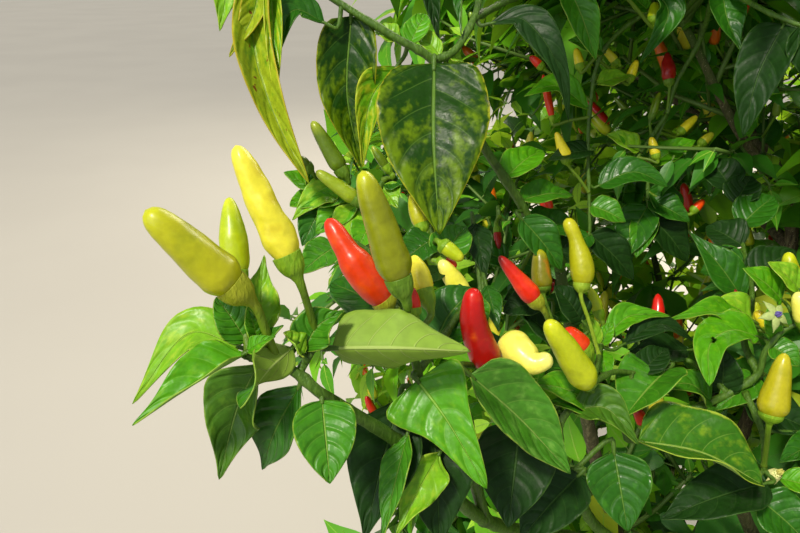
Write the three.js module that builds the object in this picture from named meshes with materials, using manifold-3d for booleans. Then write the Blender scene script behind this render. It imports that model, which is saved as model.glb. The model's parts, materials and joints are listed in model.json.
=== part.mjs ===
// A fruiting chilli pepper bush: a short woody trunk, tapering boughs, and leafy masses with erect chillies.
// Millimetres, +Z up, the origin at the middle of the flat cut under the trunk.
import * as THREE from 'three';
import { mergeVertices } from 'three/addons/utils/BufferGeometryUtils.js';
import Module from 'manifold-3d';

const wasm = await Module();
wasm.setup();

// The crown's outline: an egg that is blunter above than below
const CROWN_CENTRE = new THREE.Vector3(35, 5, 585);
const CROWN_RADIUS = 405;
const CROWN_ABOVE = 350;
const CROWN_BELOW = 400;

// The trunk
const TRUNK_RADIUS = 12.5;
const TRUNK_TOP_RADIUS = 10.5;
const FLARE_RADIUS = 24;
const FLARE_HEIGHT = 42;
const TRUNK_SIDES = 14;
const TRUNK_LINE = [[0, 0, 0], [-4, 2, 60], [1, 5, 125], [7, 8, 190]];

// Limbs
const LIMB_SIDES = 6;
const LIMB_STEPS = 5;
const JOINT_GAP = 0.3;
const LIMB_CLEARANCE = 1.2;

// Leaves, three-sided twigs and fruit of the leafy masses
const LEAF_LENGTH = [98, 140];
const LEAF_SHRINKS = 0.5;
const LEAF_WIDTH_SHARE = 0.48;
const LEAF_THICKNESS_SHARE = 0.02;
const LEAF_WIDEST_AT = 0.4;
const LEAF_FOLD_SHARE = 0.3;
const LEAF_ARCH = 0.08;
const LEAF_SAG = 0.2;
const LEAF_FACES_OUT = 0.8;
const LEAF_SUNK = 0.5;
const LEAF_OUTLINE = [[LEAF_WIDEST_AT, 1], [0.75, 0.62]];
const LEAVES_ON_STEM = [0.93, 0.72];
const ROOT_LENGTH = 3;
const LEAF_ANGLE = [0.7, 1.25];
const STEM_STEPS = 4;
const STEM_REACH_STEP = 15;
const STEM_END_CLEAR = 45;
const SIDE_TWIGS = 6;
const SIDE_TWIGS_FROM = 0.42;
const SIDE_TWIGS_TO = 0.92;
const SIDE_TWIG_RISE = 0.35;
const SIDE_TWIG_LENGTH = [80, 120];
const SIDE_TWIG_SHRINKS = 0.7;
const SIDE_TWIG_ANGLE = [0.8, 1.2];
const SIDE_TWIG_RADIUS = 2;
const TWIG_TIP_RADIUS = 1.5;
const TWIG_SIDES = 3;
const GOLDEN_ANGLE = THREE.MathUtils.degToRad(137.5);
const LEAVES_ON_SIDE_TWIG = [0.93, 0.6, 0.28];
const FRUIT_LENGTH = [28, 37];
const FRUIT_RADIUS = 5.8;
const FRUIT_SIDES = 6;
const FRUIT_PROFILE = [[1, 0.2], [0.9, 0.62], [0.6, 0.93]];
const FRUIT_ON_SIDE_TWIG = 0.78;
const FRUIT_LEAN = 0.6;
const FRUIT_ERECTNESS = 1.3;
const STALK_LENGTH = 18;
const STALK_RADIUS = 1.3;
const PETIOLE_HALF = 1.1;
const PETIOLE_TO_BLADE = 1.4;
const SPRAY_FORK_SHARE = 0.85;
const MASS_MARGIN = 1.5;
const TRIES = 24;

// The eye that the near sprays are placed from: it stands just outside the crown and looks down at it
const EYE = new THREE.Vector3(-250, -500, 800);
const EYE_TILT = THREE.MathUtils.degToRad(23);
const FOCAL_PX = 700;
const FRAME_PX = { width: 800, height: 533 };
const NEAR_DEPTH = 400;
const NEAR_BORDER_PX = 25;
const CLEAR_LEFT_PX = 296;
const CLEAR_LEFT_LOW_PX = 236;
const CLEAR_ABOVE_PX = 300;

// Finishes
const BARK = { color: 0x6f6247, roughness: 0.85, metalness: 0 };
const GREEN_STEM = { color: 0x6f8f3a, roughness: 0.55, metalness: 0 };
const FOLIAGE = { color: 0x4c8a2a, roughness: 0.45, metalness: 0 };

const RIGHT = new THREE.Vector3(1, 0, 0);
const AHEAD = new THREE.Vector3(0, Math.cos(EYE_TILT), -Math.sin(EYE_TILT));
const UPWARD = new THREE.Vector3(0, Math.sin(EYE_TILT), Math.cos(EYE_TILT));
const FORWARD = new THREE.Vector3(0, 1, 0);
const UP = new THREE.Vector3(0, 0, 1);

/** The point that the eye sees at a pixel of its frame, at a depth in millimetres. */
function seen(column, row, depth) {
  return EYE.clone()
    .addScaledVector(AHEAD, depth)
    .addScaledVector(RIGHT, ((column - FRAME_PX.width / 2) * depth) / FOCAL_PX)
    .addScaledVector(UPWARD, ((FRAME_PX.height / 2 - row) * depth) / FOCAL_PX);
}

/** Where the eye sees a point: its column, row and depth. */
function sightOf(point) {
  const away = point.clone().sub(EYE);
  const depth = away.dot(AHEAD);
  return {
    column: FRAME_PX.width / 2 + (FOCAL_PX * away.dot(RIGHT)) / depth,
    row: FRAME_PX.height / 2 - (FOCAL_PX * away.dot(UPWARD)) / depth,
    depth,
  };
}

/** A repeatable stream of numbers from 0 to 1. */
function seeded(seed) {
  const MULTIPLIER = 1664525;
  const INCREMENT = 1013904223;
  const RANGE = 2 ** 32;
  let state = seed;
  return () => {
    state = (Math.imul(state, MULTIPLIER) + INCREMENT) >>> 0;
    return state / RANGE;
  };
}

/** A closed three.js geometry as a solid that can be joined and cut. */
function solidOf(geometry) {
  geometry.deleteAttribute('normal');
  geometry.deleteAttribute('uv');
  const merged = mergeVertices(geometry);
  return new wasm.Manifold(
    new wasm.Mesh({
      numProp: 3,
      vertProperties: new Float32Array(merged.attributes.position.array),
      triVerts: new Uint32Array(merged.index.array),
    }),
  );
}

/** The largest body of a solid, so that sealed hollows are filled and loose scraps dropped. */
function largestBody(solid) {
  return solid.decompose().reduce((best, body) => (body.volume() > best.volume() ? body : best));
}

/** A solid as a named mesh with a finish. */
function meshOf(name, solid, finish) {
  const mesh = largestBody(solid).getMesh();
  const geometry = new THREE.BufferGeometry();
  geometry.setAttribute('position', new THREE.BufferAttribute(mesh.vertProperties, 3));
  geometry.setIndex(new THREE.BufferAttribute(mesh.triVerts, 1));
  geometry.computeVertexNormals();
  const part = new THREE.Mesh(geometry, new THREE.MeshStandardMaterial(finish));
  part.name = name;
  return part;
}

/** A lathe-turned profile, its heights from 0 to 1, laid along a curve, sections square to it or level. */
function swept(profile, curve, sides, level = false) {
  const turnedProfile = new THREE.LatheGeometry(
    profile.map(([radius, height]) => new THREE.Vector2(radius, height)),
    sides,
  );
  const run = curve.getPoint(1).sub(curve.getPoint(0));
  const reference = Math.abs(run.x) < Math.abs(run.y) ? RIGHT : FORWARD;
  const positions = turnedProfile.attributes.position;
  for (let i = 0; i < positions.count; i += 1) {
    const at = THREE.MathUtils.clamp(positions.getY(i), 0, 1);
    const along = level ? UP : curve.getTangent(at);
    const across = reference.clone().addScaledVector(along, -reference.dot(along)).normalize();
    const beside = along.clone().cross(across);
    const place = curve
      .getPoint(at)
      .addScaledVector(across, positions.getX(i))
      .addScaledVector(beside, -positions.getZ(i));
    positions.setXYZ(i, place.x, place.y, place.z);
  }
  return solidOf(turnedProfile);
}

/** A limb or twig that tapers along a curve from its foot, flat or rooted by a point, to its tip. */
function tapered(curve, footRadius, tipRadius, sides, steps, rooted = false) {
  const start = rooted ? ROOT_LENGTH / curve.getLength() : 0;
  const profile = [[0, 0]];
  for (let step = 0; step <= steps; step += 1) {
    const at = start + ((1 - start) * step) / steps;
    profile.push([THREE.MathUtils.lerp(footRadius, tipRadius, at), at]);
  }
  profile.push([0, 1]);
  return swept(profile, curve, sides);
}

/** The directions of a leaf's blade: along it, across it and out of its upper side. */
function bladeAxes({ foot, tip, upper }) {
  const along = tip.clone().sub(foot);
  const length = along.length();
  along.normalize();
  const across = along.clone().cross(upper).normalize();
  const above = across.clone().cross(along);
  return { along, across, above, length };
}

/** The middle line of a blade at a share of its length: it arches on its upper side. */
function bladeMiddle(leaf, axes, at) {
  const lift = 4 * (leaf.arch ?? LEAF_ARCH) * axes.length * at * (1 - at);
  return leaf.foot
    .clone()
    .addScaledVector(axes.along, at * axes.length)
    .addScaledVector(axes.above, lift);
}

/** A leaf: a thin kite, widest nearer its foot and folded up along its middle, on a petiole from its hold. */
function leafSolid(leaf, hold = null, shoulders = [[LEAF_WIDEST_AT, 1]]) {
  const axes = bladeAxes(leaf);
  const halfThickness = Math.max(axes.length * LEAF_THICKNESS_SHARE, PETIOLE_HALF * PETIOLE_TO_BLADE) / 2;
  const rings = shoulders.map(([at, share]) => ({
    centre: bladeMiddle(leaf, axes, at),
    half: (share * leaf.width) / 2,
    thick: halfThickness,
  }));
  if (hold) rings.unshift({ centre: leaf.foot, half: PETIOLE_HALF, thick: PETIOLE_HALF });
  const QUARTERS = 4;
  const kite = new THREE.SphereGeometry(1, QUARTERS, rings.length + 1);
  const positions = kite.attributes.position;
  for (let i = 0; i < positions.count; i += 1) {
    const fromFoot = Math.acos(THREE.MathUtils.clamp(-positions.getY(i), -1, 1)) / Math.PI;
    const ring = rings[Math.round(fromFoot * (rings.length + 1)) - 1];
    let place = fromFoot < 0.5 ? (hold ?? leaf.foot) : leaf.tip;
    if (ring) {
      const round = Math.hypot(positions.getX(i), positions.getZ(i));
      const side = positions.getX(i) / round;
      const fold = ring.half > PETIOLE_HALF ? Math.abs(side) * ring.half * LEAF_FOLD_SHARE : 0;
      place = ring.centre
        .clone()
        .addScaledVector(axes.across, side * ring.half)
        .addScaledVector(axes.above, (positions.getZ(i) / round) * ring.thick + fold);
    }
    positions.setXYZ(i, place.x, place.y, place.z);
  }
  return solidOf(kite);
}

/** The corners of a leaf's outline, for testing where it reaches. */
function leafCorners(leaf) {
  const axes = bladeAxes(leaf);
  const middle = bladeMiddle(leaf, axes, LEAF_WIDEST_AT);
  const edge = (side) =>
    middle
      .clone()
      .addScaledVector(axes.across, (side * leaf.width) / 2)
      .addScaledVector(axes.above, (leaf.width / 2) * LEAF_FOLD_SHARE);
  return [leaf.tip, middle, edge(1), edge(-1)];
}

/** A chilli on its stalk: widest near the calyx, slimmer in the middle, with a blunt tip. */
function fruitSolid({ hold, calyx, tip, radius }) {
  const stalk = calyx.distanceTo(hold);
  const whole = stalk + tip.distanceTo(calyx);
  const from = stalk / whole;
  const profile = [
    [0, 0],
    [STALK_RADIUS, ROOT_LENGTH / whole],
    [STALK_RADIUS, from],
    ...FRUIT_PROFILE.map(([wide, share]) => [radius * wide, from + (1 - from) * share]),
    [0, 1],
  ];
  const line = new THREE.CurvePath();
  line.add(new THREE.LineCurve3(hold, calyx));
  line.add(new THREE.LineCurve3(calyx, tip));
  return swept(profile, line, FRUIT_SIDES);
}

/** The point on a set of curves that is nearest to a place. */
function nearestOn(curves, place) {
  const SAMPLES = 24;
  let best = null;
  for (const curve of curves) {
    for (const point of curve.getPoints(SAMPLES)) {
      if (!best || point.distanceTo(place) < best.distanceTo(place)) best = point;
    }
  }
  return best;
}

// The trunk
const trunkLine = new THREE.CatmullRomCurve3(TRUNK_LINE.map((at) => new THREE.Vector3(...at)));

function trunkSolid(extra) {
  const height = TRUNK_LINE[TRUNK_LINE.length - 1][2];
  const FLARE_STEPS = 4;
  const SHAFT_STEPS = 5;
  const profile = [[0, 0]];
  for (let step = 0; step < FLARE_STEPS; step += 1) {
    const at = step / FLARE_STEPS;
    const radius = THREE.MathUtils.lerp(TRUNK_RADIUS, FLARE_RADIUS, (1 - at) ** 2);
    profile.push([radius + extra, (at * FLARE_HEIGHT) / height]);
  }
  for (let step = 0; step <= SHAFT_STEPS; step += 1) {
    const at = step / SHAFT_STEPS;
    const rise = THREE.MathUtils.lerp(FLARE_HEIGHT / height, 1, at);
    profile.push([THREE.MathUtils.lerp(TRUNK_RADIUS, TRUNK_TOP_RADIUS, at) + extra, rise]);
  }
  profile.push([0, 1]);
  return swept(profile, trunkLine, TRUNK_SIDES, true);
}

// Boughs, each from a point on its parent's line to the tip where its mass begins
const BOUGHS = [
  {
    name: 'bough_front_left', parent: 'trunk', along: 0.9, foot: 7.2, tip: 2.3,
    line: [[-45, -58, 275], [-98, -138, 430], [-150, -196, 575], seen(560, 270, 300)],
  },
  {
    name: 'bough_back', parent: 'trunk', along: 0.96, foot: 7, tip: 2.6,
    line: [[10, 70, 300], [30, 130, 430], [10, 205, 560]],
  },
  {
    name: 'bough_right', parent: 'trunk', along: 0.84, foot: 7, tip: 2.6,
    line: [[70, 0, 270], [140, -15, 400], [215, -15, 540]],
  },
  {
    name: 'bough_front', parent: 'trunk', along: 0.76, foot: 6.6, tip: 2.4,
    line: [[18, -80, 270], [-5, -160, 420], [-65, -205, 530], seen(700, 420, 330)],
  },
  {
    name: 'bough_middle', parent: 'trunk', along: 0.99, foot: 6.6, tip: 2.6,
    line: [[22, -10, 330], [28, -35, 500], [17, -40, 654], [-22, -5, 715], [-50, 20, 757]],
  },
  {
    name: 'bough_left', parent: 'bough_front_left', along: 0.3, foot: 5.2, tip: 2.4,
    line: [[-105, -50, 420], [-170, -30, 540]],
  },
  {
    name: 'bough_picked', parent: 'bough_front_left', along: 0.44, foot: 3.6, tip: 1.7,
    line: [[-150, -215, 520], seen(485, 520, 275), seen(410, 450, 215), seen(335, 402, 186)],
  },
  {
    name: 'bough_middle_front', parent: 'bough_picked', along: 0.5, foot: 2.4, tip: 1.8,
    line: [seen(470, 470, 255), seen(438, 425, 228)],
  },
  {
    name: 'bough_cluster', parent: 'bough_front', along: 0.6, foot: 3.4, tip: 1.9,
    line: [[-95, -245, 520], seen(600, 530, 305), seen(572, 478, 276)],
  },
  {
    name: 'bough_back_left', parent: 'bough_back', along: 0.4, foot: 5, tip: 2.4,
    line: [[-60, 120, 430], [-135, 165, 520]],
  },
  {
    name: 'bough_back_right', parent: 'bough_right', along: 0.35, foot: 5, tip: 2.4,
    line: [[125, 80, 430], [175, 145, 530]],
  },
  {
    name: 'bough_front_right', parent: 'bough_front', along: 0.3, foot: 5, tip: 2.4,
    line: [[85, -150, 400], [140, -205, 510]],
  },
  {
    name: 'bough_high_right', parent: 'bough_middle', along: 0.38, foot: 4.6, tip: 2.3,
    line: [[85, -5, 590], [130, 30, 680]],
  },
  {
    name: 'bough_high_back', parent: 'bough_middle', along: 0.55, foot: 4.2, tip: 2.3,
    line: [[20, 60, 640], [5, 110, 710]],
  },
  {
    name: 'bough_high_front', parent: 'bough_middle', along: 0.46, foot: 4.2, tip: 2.3,
    line: [[75, -95, 600], [100, -150, 690]],
  },
  {
    name: 'bough_high_left', parent: 'bough_middle', along: 0.62, foot: 3.8, tip: 2.2,
    line: [[-30, -55, 700], [-82, -68, 768]],
  },
  {
    name: 'bough_high_back_left', parent: 'bough_middle', along: 0.66, foot: 3.6, tip: 2.2,
    line: [[-35, 45, 705], [-85, 90, 735]],
  },
  {
    name: 'bough_inner', parent: 'bough_middle', along: 0.2, foot: 3.8, tip: 2.2,
    line: [[65, -40, 440], [88, -62, 490]],
  },
  {
    name: 'bough_low_back_left', parent: 'trunk', along: 0.72, foot: 4.6, tip: 2.4,
    line: [[-28, 75, 235], [-58, 142, 312]],
  },
  {
    name: 'bough_low_front_left', parent: 'trunk', along: 0.54, foot: 5, tip: 2.4,
    line: [[-48, -52, 200], [-98, -118, 295]],
  },
  {
    name: 'bough_low_left', parent: 'trunk', along: 0.62, foot: 5, tip: 2.4,
    line: [[-65, 20, 210], [-130, 40, 300]],
  },
  {
    name: 'bough_low_back', parent: 'trunk', along: 0.7, foot: 5, tip: 2.4,
    line: [[25, 75, 220], [60, 140, 310]],
  },
  {
    name: 'bough_low_right', parent: 'trunk', along: 0.58, foot: 5, tip: 2.4,
    line: [[85, -10, 210], [160, -25, 300]],
  },
  {
    name: 'bough_low_front', parent: 'trunk', along: 0.66, foot: 5, tip: 2.4,
    line: [[10, -85, 210], [15, -155, 290]],
  },
];

// Leafy masses round the crown, each with the middle of its own space
const MASSES = [
  { name: 'leaves_back', bough: 'bough_back', middle: [10, 285, 610], seed: 11 },
  { name: 'leaves_right', bough: 'bough_right', middle: [315, -20, 590], seed: 12 },
  { name: 'leaves_top', bough: 'bough_middle', middle: [-20, 70, 850], seed: 13 },
  { name: 'leaves_left', bough: 'bough_left', middle: [-235, 10, 600], seed: 14 },
  { name: 'leaves_back_left', bough: 'bough_back_left', middle: [-205, 215, 590], seed: 35 },
  { name: 'leaves_back_right', bough: 'bough_back_right', middle: [250, 220, 600], seed: 16 },
  { name: 'leaves_front_right', bough: 'bough_front_right', middle: [185, -265, 570], seed: 17 },
  { name: 'leaves_high_right', bough: 'bough_high_right', middle: [190, 50, 770], seed: 18 },
  { name: 'leaves_high_back', bough: 'bough_high_back', middle: [30, 205, 790], seed: 19 },
  { name: 'leaves_high_front', bough: 'bough_high_front', middle: [110, -190, 770], seed: 20 },
  { name: 'leaves_high_left', bough: 'bough_high_left', middle: [-140, -80, 830], seed: 25 },
  { name: 'leaves_high_back_left', bough: 'bough_high_back_left', middle: [-165, 160, 775], seed: 27 },
  { name: 'leaves_inner', bough: 'bough_inner', middle: [95, -75, 570], seed: 28 },
  { name: 'leaves_low_back_left', bough: 'bough_low_back_left', middle: [-95, 235, 385], seed: 29 },
  { name: 'leaves_low_front_left', bough: 'bough_low_front_left', middle: [-165, -200, 390], seed: 26 },
  { name: 'leaves_low_left', bough: 'bough_low_left', middle: [-200, 60, 370], seed: 21 },
  { name: 'leaves_low_back', bough: 'bough_low_back', middle: [90, 225, 370], seed: 22 },
  { name: 'leaves_low_right', bough: 'bough_low_right', middle: [255, -50, 370], seed: 23 },
  { name: 'leaves_low_front', bough: 'bough_low_front', middle: [55, -260, 380], seed: 24 },
];

// The near sprays, leaf by leaf: foot, tip and width of each blade, calyx and tip of each chilli
const SPRAYS = [
  {
    name: 'picked_spray', bough: 'bough_picked',
    twigs: [
      [seen(298, 374, 179), seen(274, 362, 176), seen(250, 358, 173)],
      [seen(298, 374, 179), seen(318, 340, 184)],
    ],
    leaves: [
      { foot: seen(246, 353, 171), tip: seen(132, 425, 160), width: 14 },
      { foot: seen(244, 342, 174), tip: seen(150, 392, 175), width: 17 },
      { foot: seen(244, 342, 171), tip: seen(214, 302, 168), width: 9 },
      { foot: seen(256, 346, 175), tip: seen(262, 262, 184), width: 11 },
      { foot: seen(262, 355, 174), tip: seen(238, 410, 160), width: 12 },
      { foot: seen(262, 362, 178), tip: seen(216, 475, 184), width: 13 },
      { foot: seen(302, 356, 180), tip: seen(346, 312, 182), width: 11 },
      { foot: seen(332, 346, 186), tip: seen(470, 351, 186), width: 21 },
      { foot: seen(300, 385, 180), tip: seen(262, 470, 196), width: 17 },
      { foot: seen(322, 400, 180), tip: seen(326, 482, 170), width: 16 },
    ],
    fruit: [
      { root: seen(288, 350, 176), calyx: seen(234, 287, 163), tip: seen(145, 210, 153), radius: 5.3 },
      { root: seen(252, 348, 173), calyx: seen(237, 276, 178), tip: seen(229, 197, 180), radius: 3.7 },
      { root: seen(316, 330, 183), calyx: seen(289, 259, 172), tip: seen(236, 145, 167), radius: 4.3 },
    ],
  },
  {
    name: 'middle_spray', bough: 'bough_middle_front',
    twigs: [
      [seen(418, 372, 212), seen(407, 330, 202), seen(395, 306, 207)],
      [seen(418, 372, 212), seen(448, 330, 228), seen(464, 298, 240), seen(437, 252, 252)],
      [seen(395, 306, 207), seen(385, 262, 240), seen(366, 214, 262), seen(344, 190, 268)],
    ],
    leaves: [
      { foot: seen(417, 380, 209), tip: seen(487, 489, 200), width: 28 },
      { foot: seen(398, 318, 214), tip: seen(331, 283, 230), width: 19 },
      { foot: seen(340, 192, 268), tip: seen(292, 220, 262), width: 14 },
      { foot: seen(352, 200, 266), tip: seen(316, 234, 262), width: 15 },
      { foot: seen(424, 390, 203), tip: seen(345, 533, 178), width: 22 },
      { foot: seen(446, 332, 230), tip: seen(424, 270, 246), width: 15 },
      { foot: seen(432, 396, 214), tip: seen(440, 545, 205), width: 24 },
    ],
    fruit: [
      { root: seen(405, 325, 201), calyx: seen(399, 281, 184), tip: seen(362, 171, 176), radius: 4.9 },
      { root: seen(392, 316, 206), calyx: seen(385, 302, 204), tip: seen(329, 219, 200), radius: 4.9 },
      { root: seen(462, 300, 240), calyx: seen(464, 294, 240), tip: seen(440, 260, 238), radius: 3.2 },
      { root: seen(412, 340, 206), calyx: seen(425, 294, 214), tip: seen(413, 255, 217), radius: 3.5 },
      { root: seen(347, 192, 268), calyx: seen(342, 171, 260), tip: seen(312, 121, 256), radius: 3.3 },
      { root: seen(366, 214, 262), calyx: seen(357, 200, 256), tip: seen(316, 171, 254), radius: 3 },
    ],
  },
  {
    name: 'cluster_spray', bough: 'bough_cluster',
    twigs: [
      [seen(560, 425, 264), seen(590, 385, 270), seen(601, 346, 300)],
      [seen(560, 425, 264), seen(515, 385, 250), seen(490, 368, 242)],
      [seen(590, 385, 270), seen(560, 350, 290)],
    ],
    leaves: [
      { foot: seen(470, 381, 246), tip: seen(571, 474, 238), width: 27 },
      { foot: seen(560, 400, 262), tip: seen(642, 442, 256), width: 20 },
      { foot: seen(596, 392, 275), tip: seen(668, 370, 282), width: 19 },
      { foot: seen(575, 440, 270), tip: seen(648, 534, 286), width: 26 },
      { foot: seen(565, 455, 270), tip: seen(524, 545, 262), width: 27 },
      { foot: seen(505, 385, 250), tip: seen(470, 320, 262), width: 16 },
      { foot: seen(602, 352, 300), tip: seen(640, 290, 312), width: 18 },
    ],
    fruit: [
      { root: seen(492, 372, 243), calyx: seen(486, 359, 232), tip: seen(473, 288, 222), radius: 5.3 },
      { root: seen(512, 384, 249), calyx: seen(499, 338, 240), tip: seen(552, 359, 229), radius: 5.3 },
      { root: seen(590, 398, 268), calyx: seen(590, 387, 250), tip: seen(549, 320, 240), radius: 5.5 },
      { root: seen(562, 352, 290), calyx: seen(536, 301, 294), tip: seen(499, 256, 292), radius: 4.4 },
      { root: seen(560, 350, 288), calyx: seen(542, 288, 283), tip: seen(539, 249, 283), radius: 4.2 },
      { root: seen(590, 352, 293), calyx: seen(581, 285, 283), tip: seen(567, 218, 283), radius: 5 },
      { root: seen(602, 350, 300), calyx: seen(599, 313, 312), tip: seen(589, 287, 314), radius: 2.7 },
    ],
  },
  {
    name: 'right_spray', bough: 'bough_front',
    twigs: [
      [seen(745, 392, 325), seen(790, 355, 318), seen(812, 320, 312)],
      [seen(745, 392, 325), seen(735, 345, 335), seen(745, 300, 345)],
      [seen(745, 392, 325), seen(770, 440, 305)],
    ],
    leaves: [
      { foot: seen(712, 415, 322), tip: seen(762, 479, 288), width: 27 },
      { foot: seen(700, 418, 324), tip: seen(638, 412, 300), width: 24 },
      { foot: seen(738, 350, 332), tip: seen(607, 326, 318), width: 19 },
      { foot: seen(742, 380, 325), tip: seen(704, 384, 296), width: 20 },
      { foot: seen(800, 335, 314), tip: seen(752, 268, 312), width: 18 },
      { foot: seen(762, 430, 308), tip: seen(815, 520, 300), width: 26 },
      { foot: seen(745, 405, 322), tip: seen(700, 520, 300), width: 25 },
      { foot: seen(745, 302, 345), tip: seen(690, 232, 352), width: 22 },
    ],
    fruit: [
      { root: seen(768, 445, 305), calyx: seen(771, 416, 289), tip: seen(785, 353, 285), radius: 6.3 },
      { root: seen(805, 322, 313), calyx: seen(792, 282, 326), tip: seen(788, 252, 326), radius: 4.2 },
    ],
  },
  {
    name: 'upper_spray', bough: 'bough_front_left',
    twigs: [
      [
        seen(541, 245, 296), seen(521, 204, 288), seen(484, 147, 275), seen(433, 61, 262),
        seen(335, 0, 255), seen(250, -60, 252), seen(200, -130, 258),
      ],
      [seen(433, 61, 262), seen(474, 18, 268), seen(484, -20, 275), seen(520, -90, 285)],
      [seen(335, 0, 255), seen(330, -90, 262)],
    ],
    leaves: [
      { foot: seen(434, 63, 257), tip: seen(439, 235, 246), width: 41 },
      { foot: seen(351, 16, 260), tip: seen(361, 168, 268), width: 24 },
      { foot: seen(262, -64, 250), tip: seen(309, 184, 240), width: 22 },
      { foot: seen(325, 23, 254), tip: seen(274, 64, 244), width: 13 },
      { foot: seen(397, 66, 265), tip: seen(362, 168, 280), width: 16 },
      { foot: seen(488, 24, 268), tip: seen(567, 122, 270), width: 19, arch: 0.2 },
      { foot: seen(240, -60, 252), tip: seen(219, 31, 248), width: 15 },
      { foot: seen(330, -85, 261), tip: seen(395, -150, 250), width: 26 },
      { foot: seen(330, -85, 261), tip: seen(270, -190, 262), width: 26 },
      { foot: seen(205, -125, 257), tip: seen(120, -190, 256), width: 24 },
      { foot: seen(519, -85, 284), tip: seen(590, -150, 290), width: 26 },
      { foot: seen(519, -85, 284), tip: seen(470, -190, 292), width: 26 },
    ],
    fruit: [
      { root: seen(520, -80, 283), calyx: seen(528, -120, 283), tip: seen(532, -200, 280), radius: 5 },
    ],
  },
];

const lines = { trunk: trunkLine };
const limbs = { trunk: trunkSolid(0) };
const tips = {};
let occupied = trunkSolid(JOINT_GAP);
let keptClear = trunkSolid(LIMB_CLEARANCE);

for (const bough of BOUGHS) {
  const start = lines[bough.parent].getPoint(bough.along);
  const line = new THREE.CatmullRomCurve3([
    start,
    ...bough.line.map((at) => (at.isVector3 ? at : new THREE.Vector3(...at))),
  ]);
  const grown = (extra) => tapered(line, bough.foot + extra, bough.tip + extra, LIMB_SIDES, LIMB_STEPS);
  lines[bough.name] = line;
  tips[bough.name] = { at: line.getPoint(1), heading: line.getTangent(1), radius: bough.tip };
  limbs[bough.name] = largestBody(grown(0).subtract(occupied));
  occupied = occupied.add(grown(JOINT_GAP));
  keptClear = keptClear.add(grown(LIMB_CLEARANCE));
}

/** Where a mass's stem starts: just past its bough's tip, and a short way along it. */
function stemStart(boughName) {
  const { at, heading } = tips[boughName];
  const STRAIGHT = 8;
  return [JOINT_GAP, STRAIGHT].map((reach) => at.clone().addScaledVector(heading, reach));
}

/** A near spray as one solid. */
function growSpray(spray) {
  const { radius } = tips[spray.bough];
  const curves = [];
  let solid = null;
  spray.twigs.forEach((points, index) => {
    const curve = new THREE.CatmullRomCurve3(index === 0 ? [...stemStart(spray.bough), ...points] : points);
    const footRadius = index === 0 ? radius : Math.max(radius * SPRAY_FORK_SHARE, TWIG_TIP_RADIUS);
    const twig = tapered(curve, footRadius, TWIG_TIP_RADIUS, TWIG_SIDES, points.length + 1, index > 0);
    solid = solid ? solid.add(twig) : twig;
    curves.push(curve);
  });
  for (const leaf of spray.leaves) {
    const hold = nearestOn(curves, leaf.foot);
    const upper = UP.clone().add(EYE.clone().sub(leaf.foot).normalize());
    solid = solid.add(leafSolid({ ...leaf, upper }, hold, LEAF_OUTLINE));
  }
  for (const fruit of spray.fruit) {
    solid = solid.add(fruitSolid({ ...fruit, hold: nearestOn(curves, fruit.root) }));
  }
  return solid;
}

const sprays = {};
for (const spray of SPRAYS) {
  sprays[spray.name] = growSpray(spray);
  keptClear = keptClear.add(sprays[spray.name]);
}

/** Whether a point lies in a mass's own space: in the crown, out of the near view, nearest to its middle. */
function inSpace(mass, point) {
  const offset = point.clone().sub(CROWN_CENTRE);
  const tall = offset.z > 0 ? CROWN_ABOVE : CROWN_BELOW;
  const share = (offset.x ** 2 + offset.y ** 2) / CROWN_RADIUS ** 2 + offset.z ** 2 / tall ** 2;
  if (share > 1) return false;
  const sight = sightOf(point);
  if (sight.depth > 0) {
    const inFrame =
      sight.column > -NEAR_BORDER_PX && sight.column < FRAME_PX.width + NEAR_BORDER_PX &&
      sight.row > -NEAR_BORDER_PX && sight.row < FRAME_PX.height + NEAR_BORDER_PX;
    if (inFrame && sight.depth < NEAR_DEPTH) return false;
    const edge = sight.row < CLEAR_ABOVE_PX ? CLEAR_LEFT_PX : CLEAR_LEFT_LOW_PX;
    if (sight.column < edge && sight.row > -NEAR_BORDER_PX) return false;
  }
  const own = new THREE.Vector3(...mass.middle);
  return MASSES.every((other) => {
    if (other === mass) return true;
    const theirs = new THREE.Vector3(...other.middle);
    const nearer = point.distanceToSquared(theirs) - point.distanceToSquared(own);
    return nearer / (2 * own.distanceTo(theirs)) > MASS_MARGIN;
  });
}

/** A heading turned away from another by an angle, round it by a roll. */
function turned(heading, angle, roll) {
  const side = heading.clone().cross(Math.abs(heading.z) < 0.9 ? UP : RIGHT).normalize();
  side.applyAxisAngle(heading, roll);
  return heading.clone().applyAxisAngle(side, angle);
}

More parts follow.
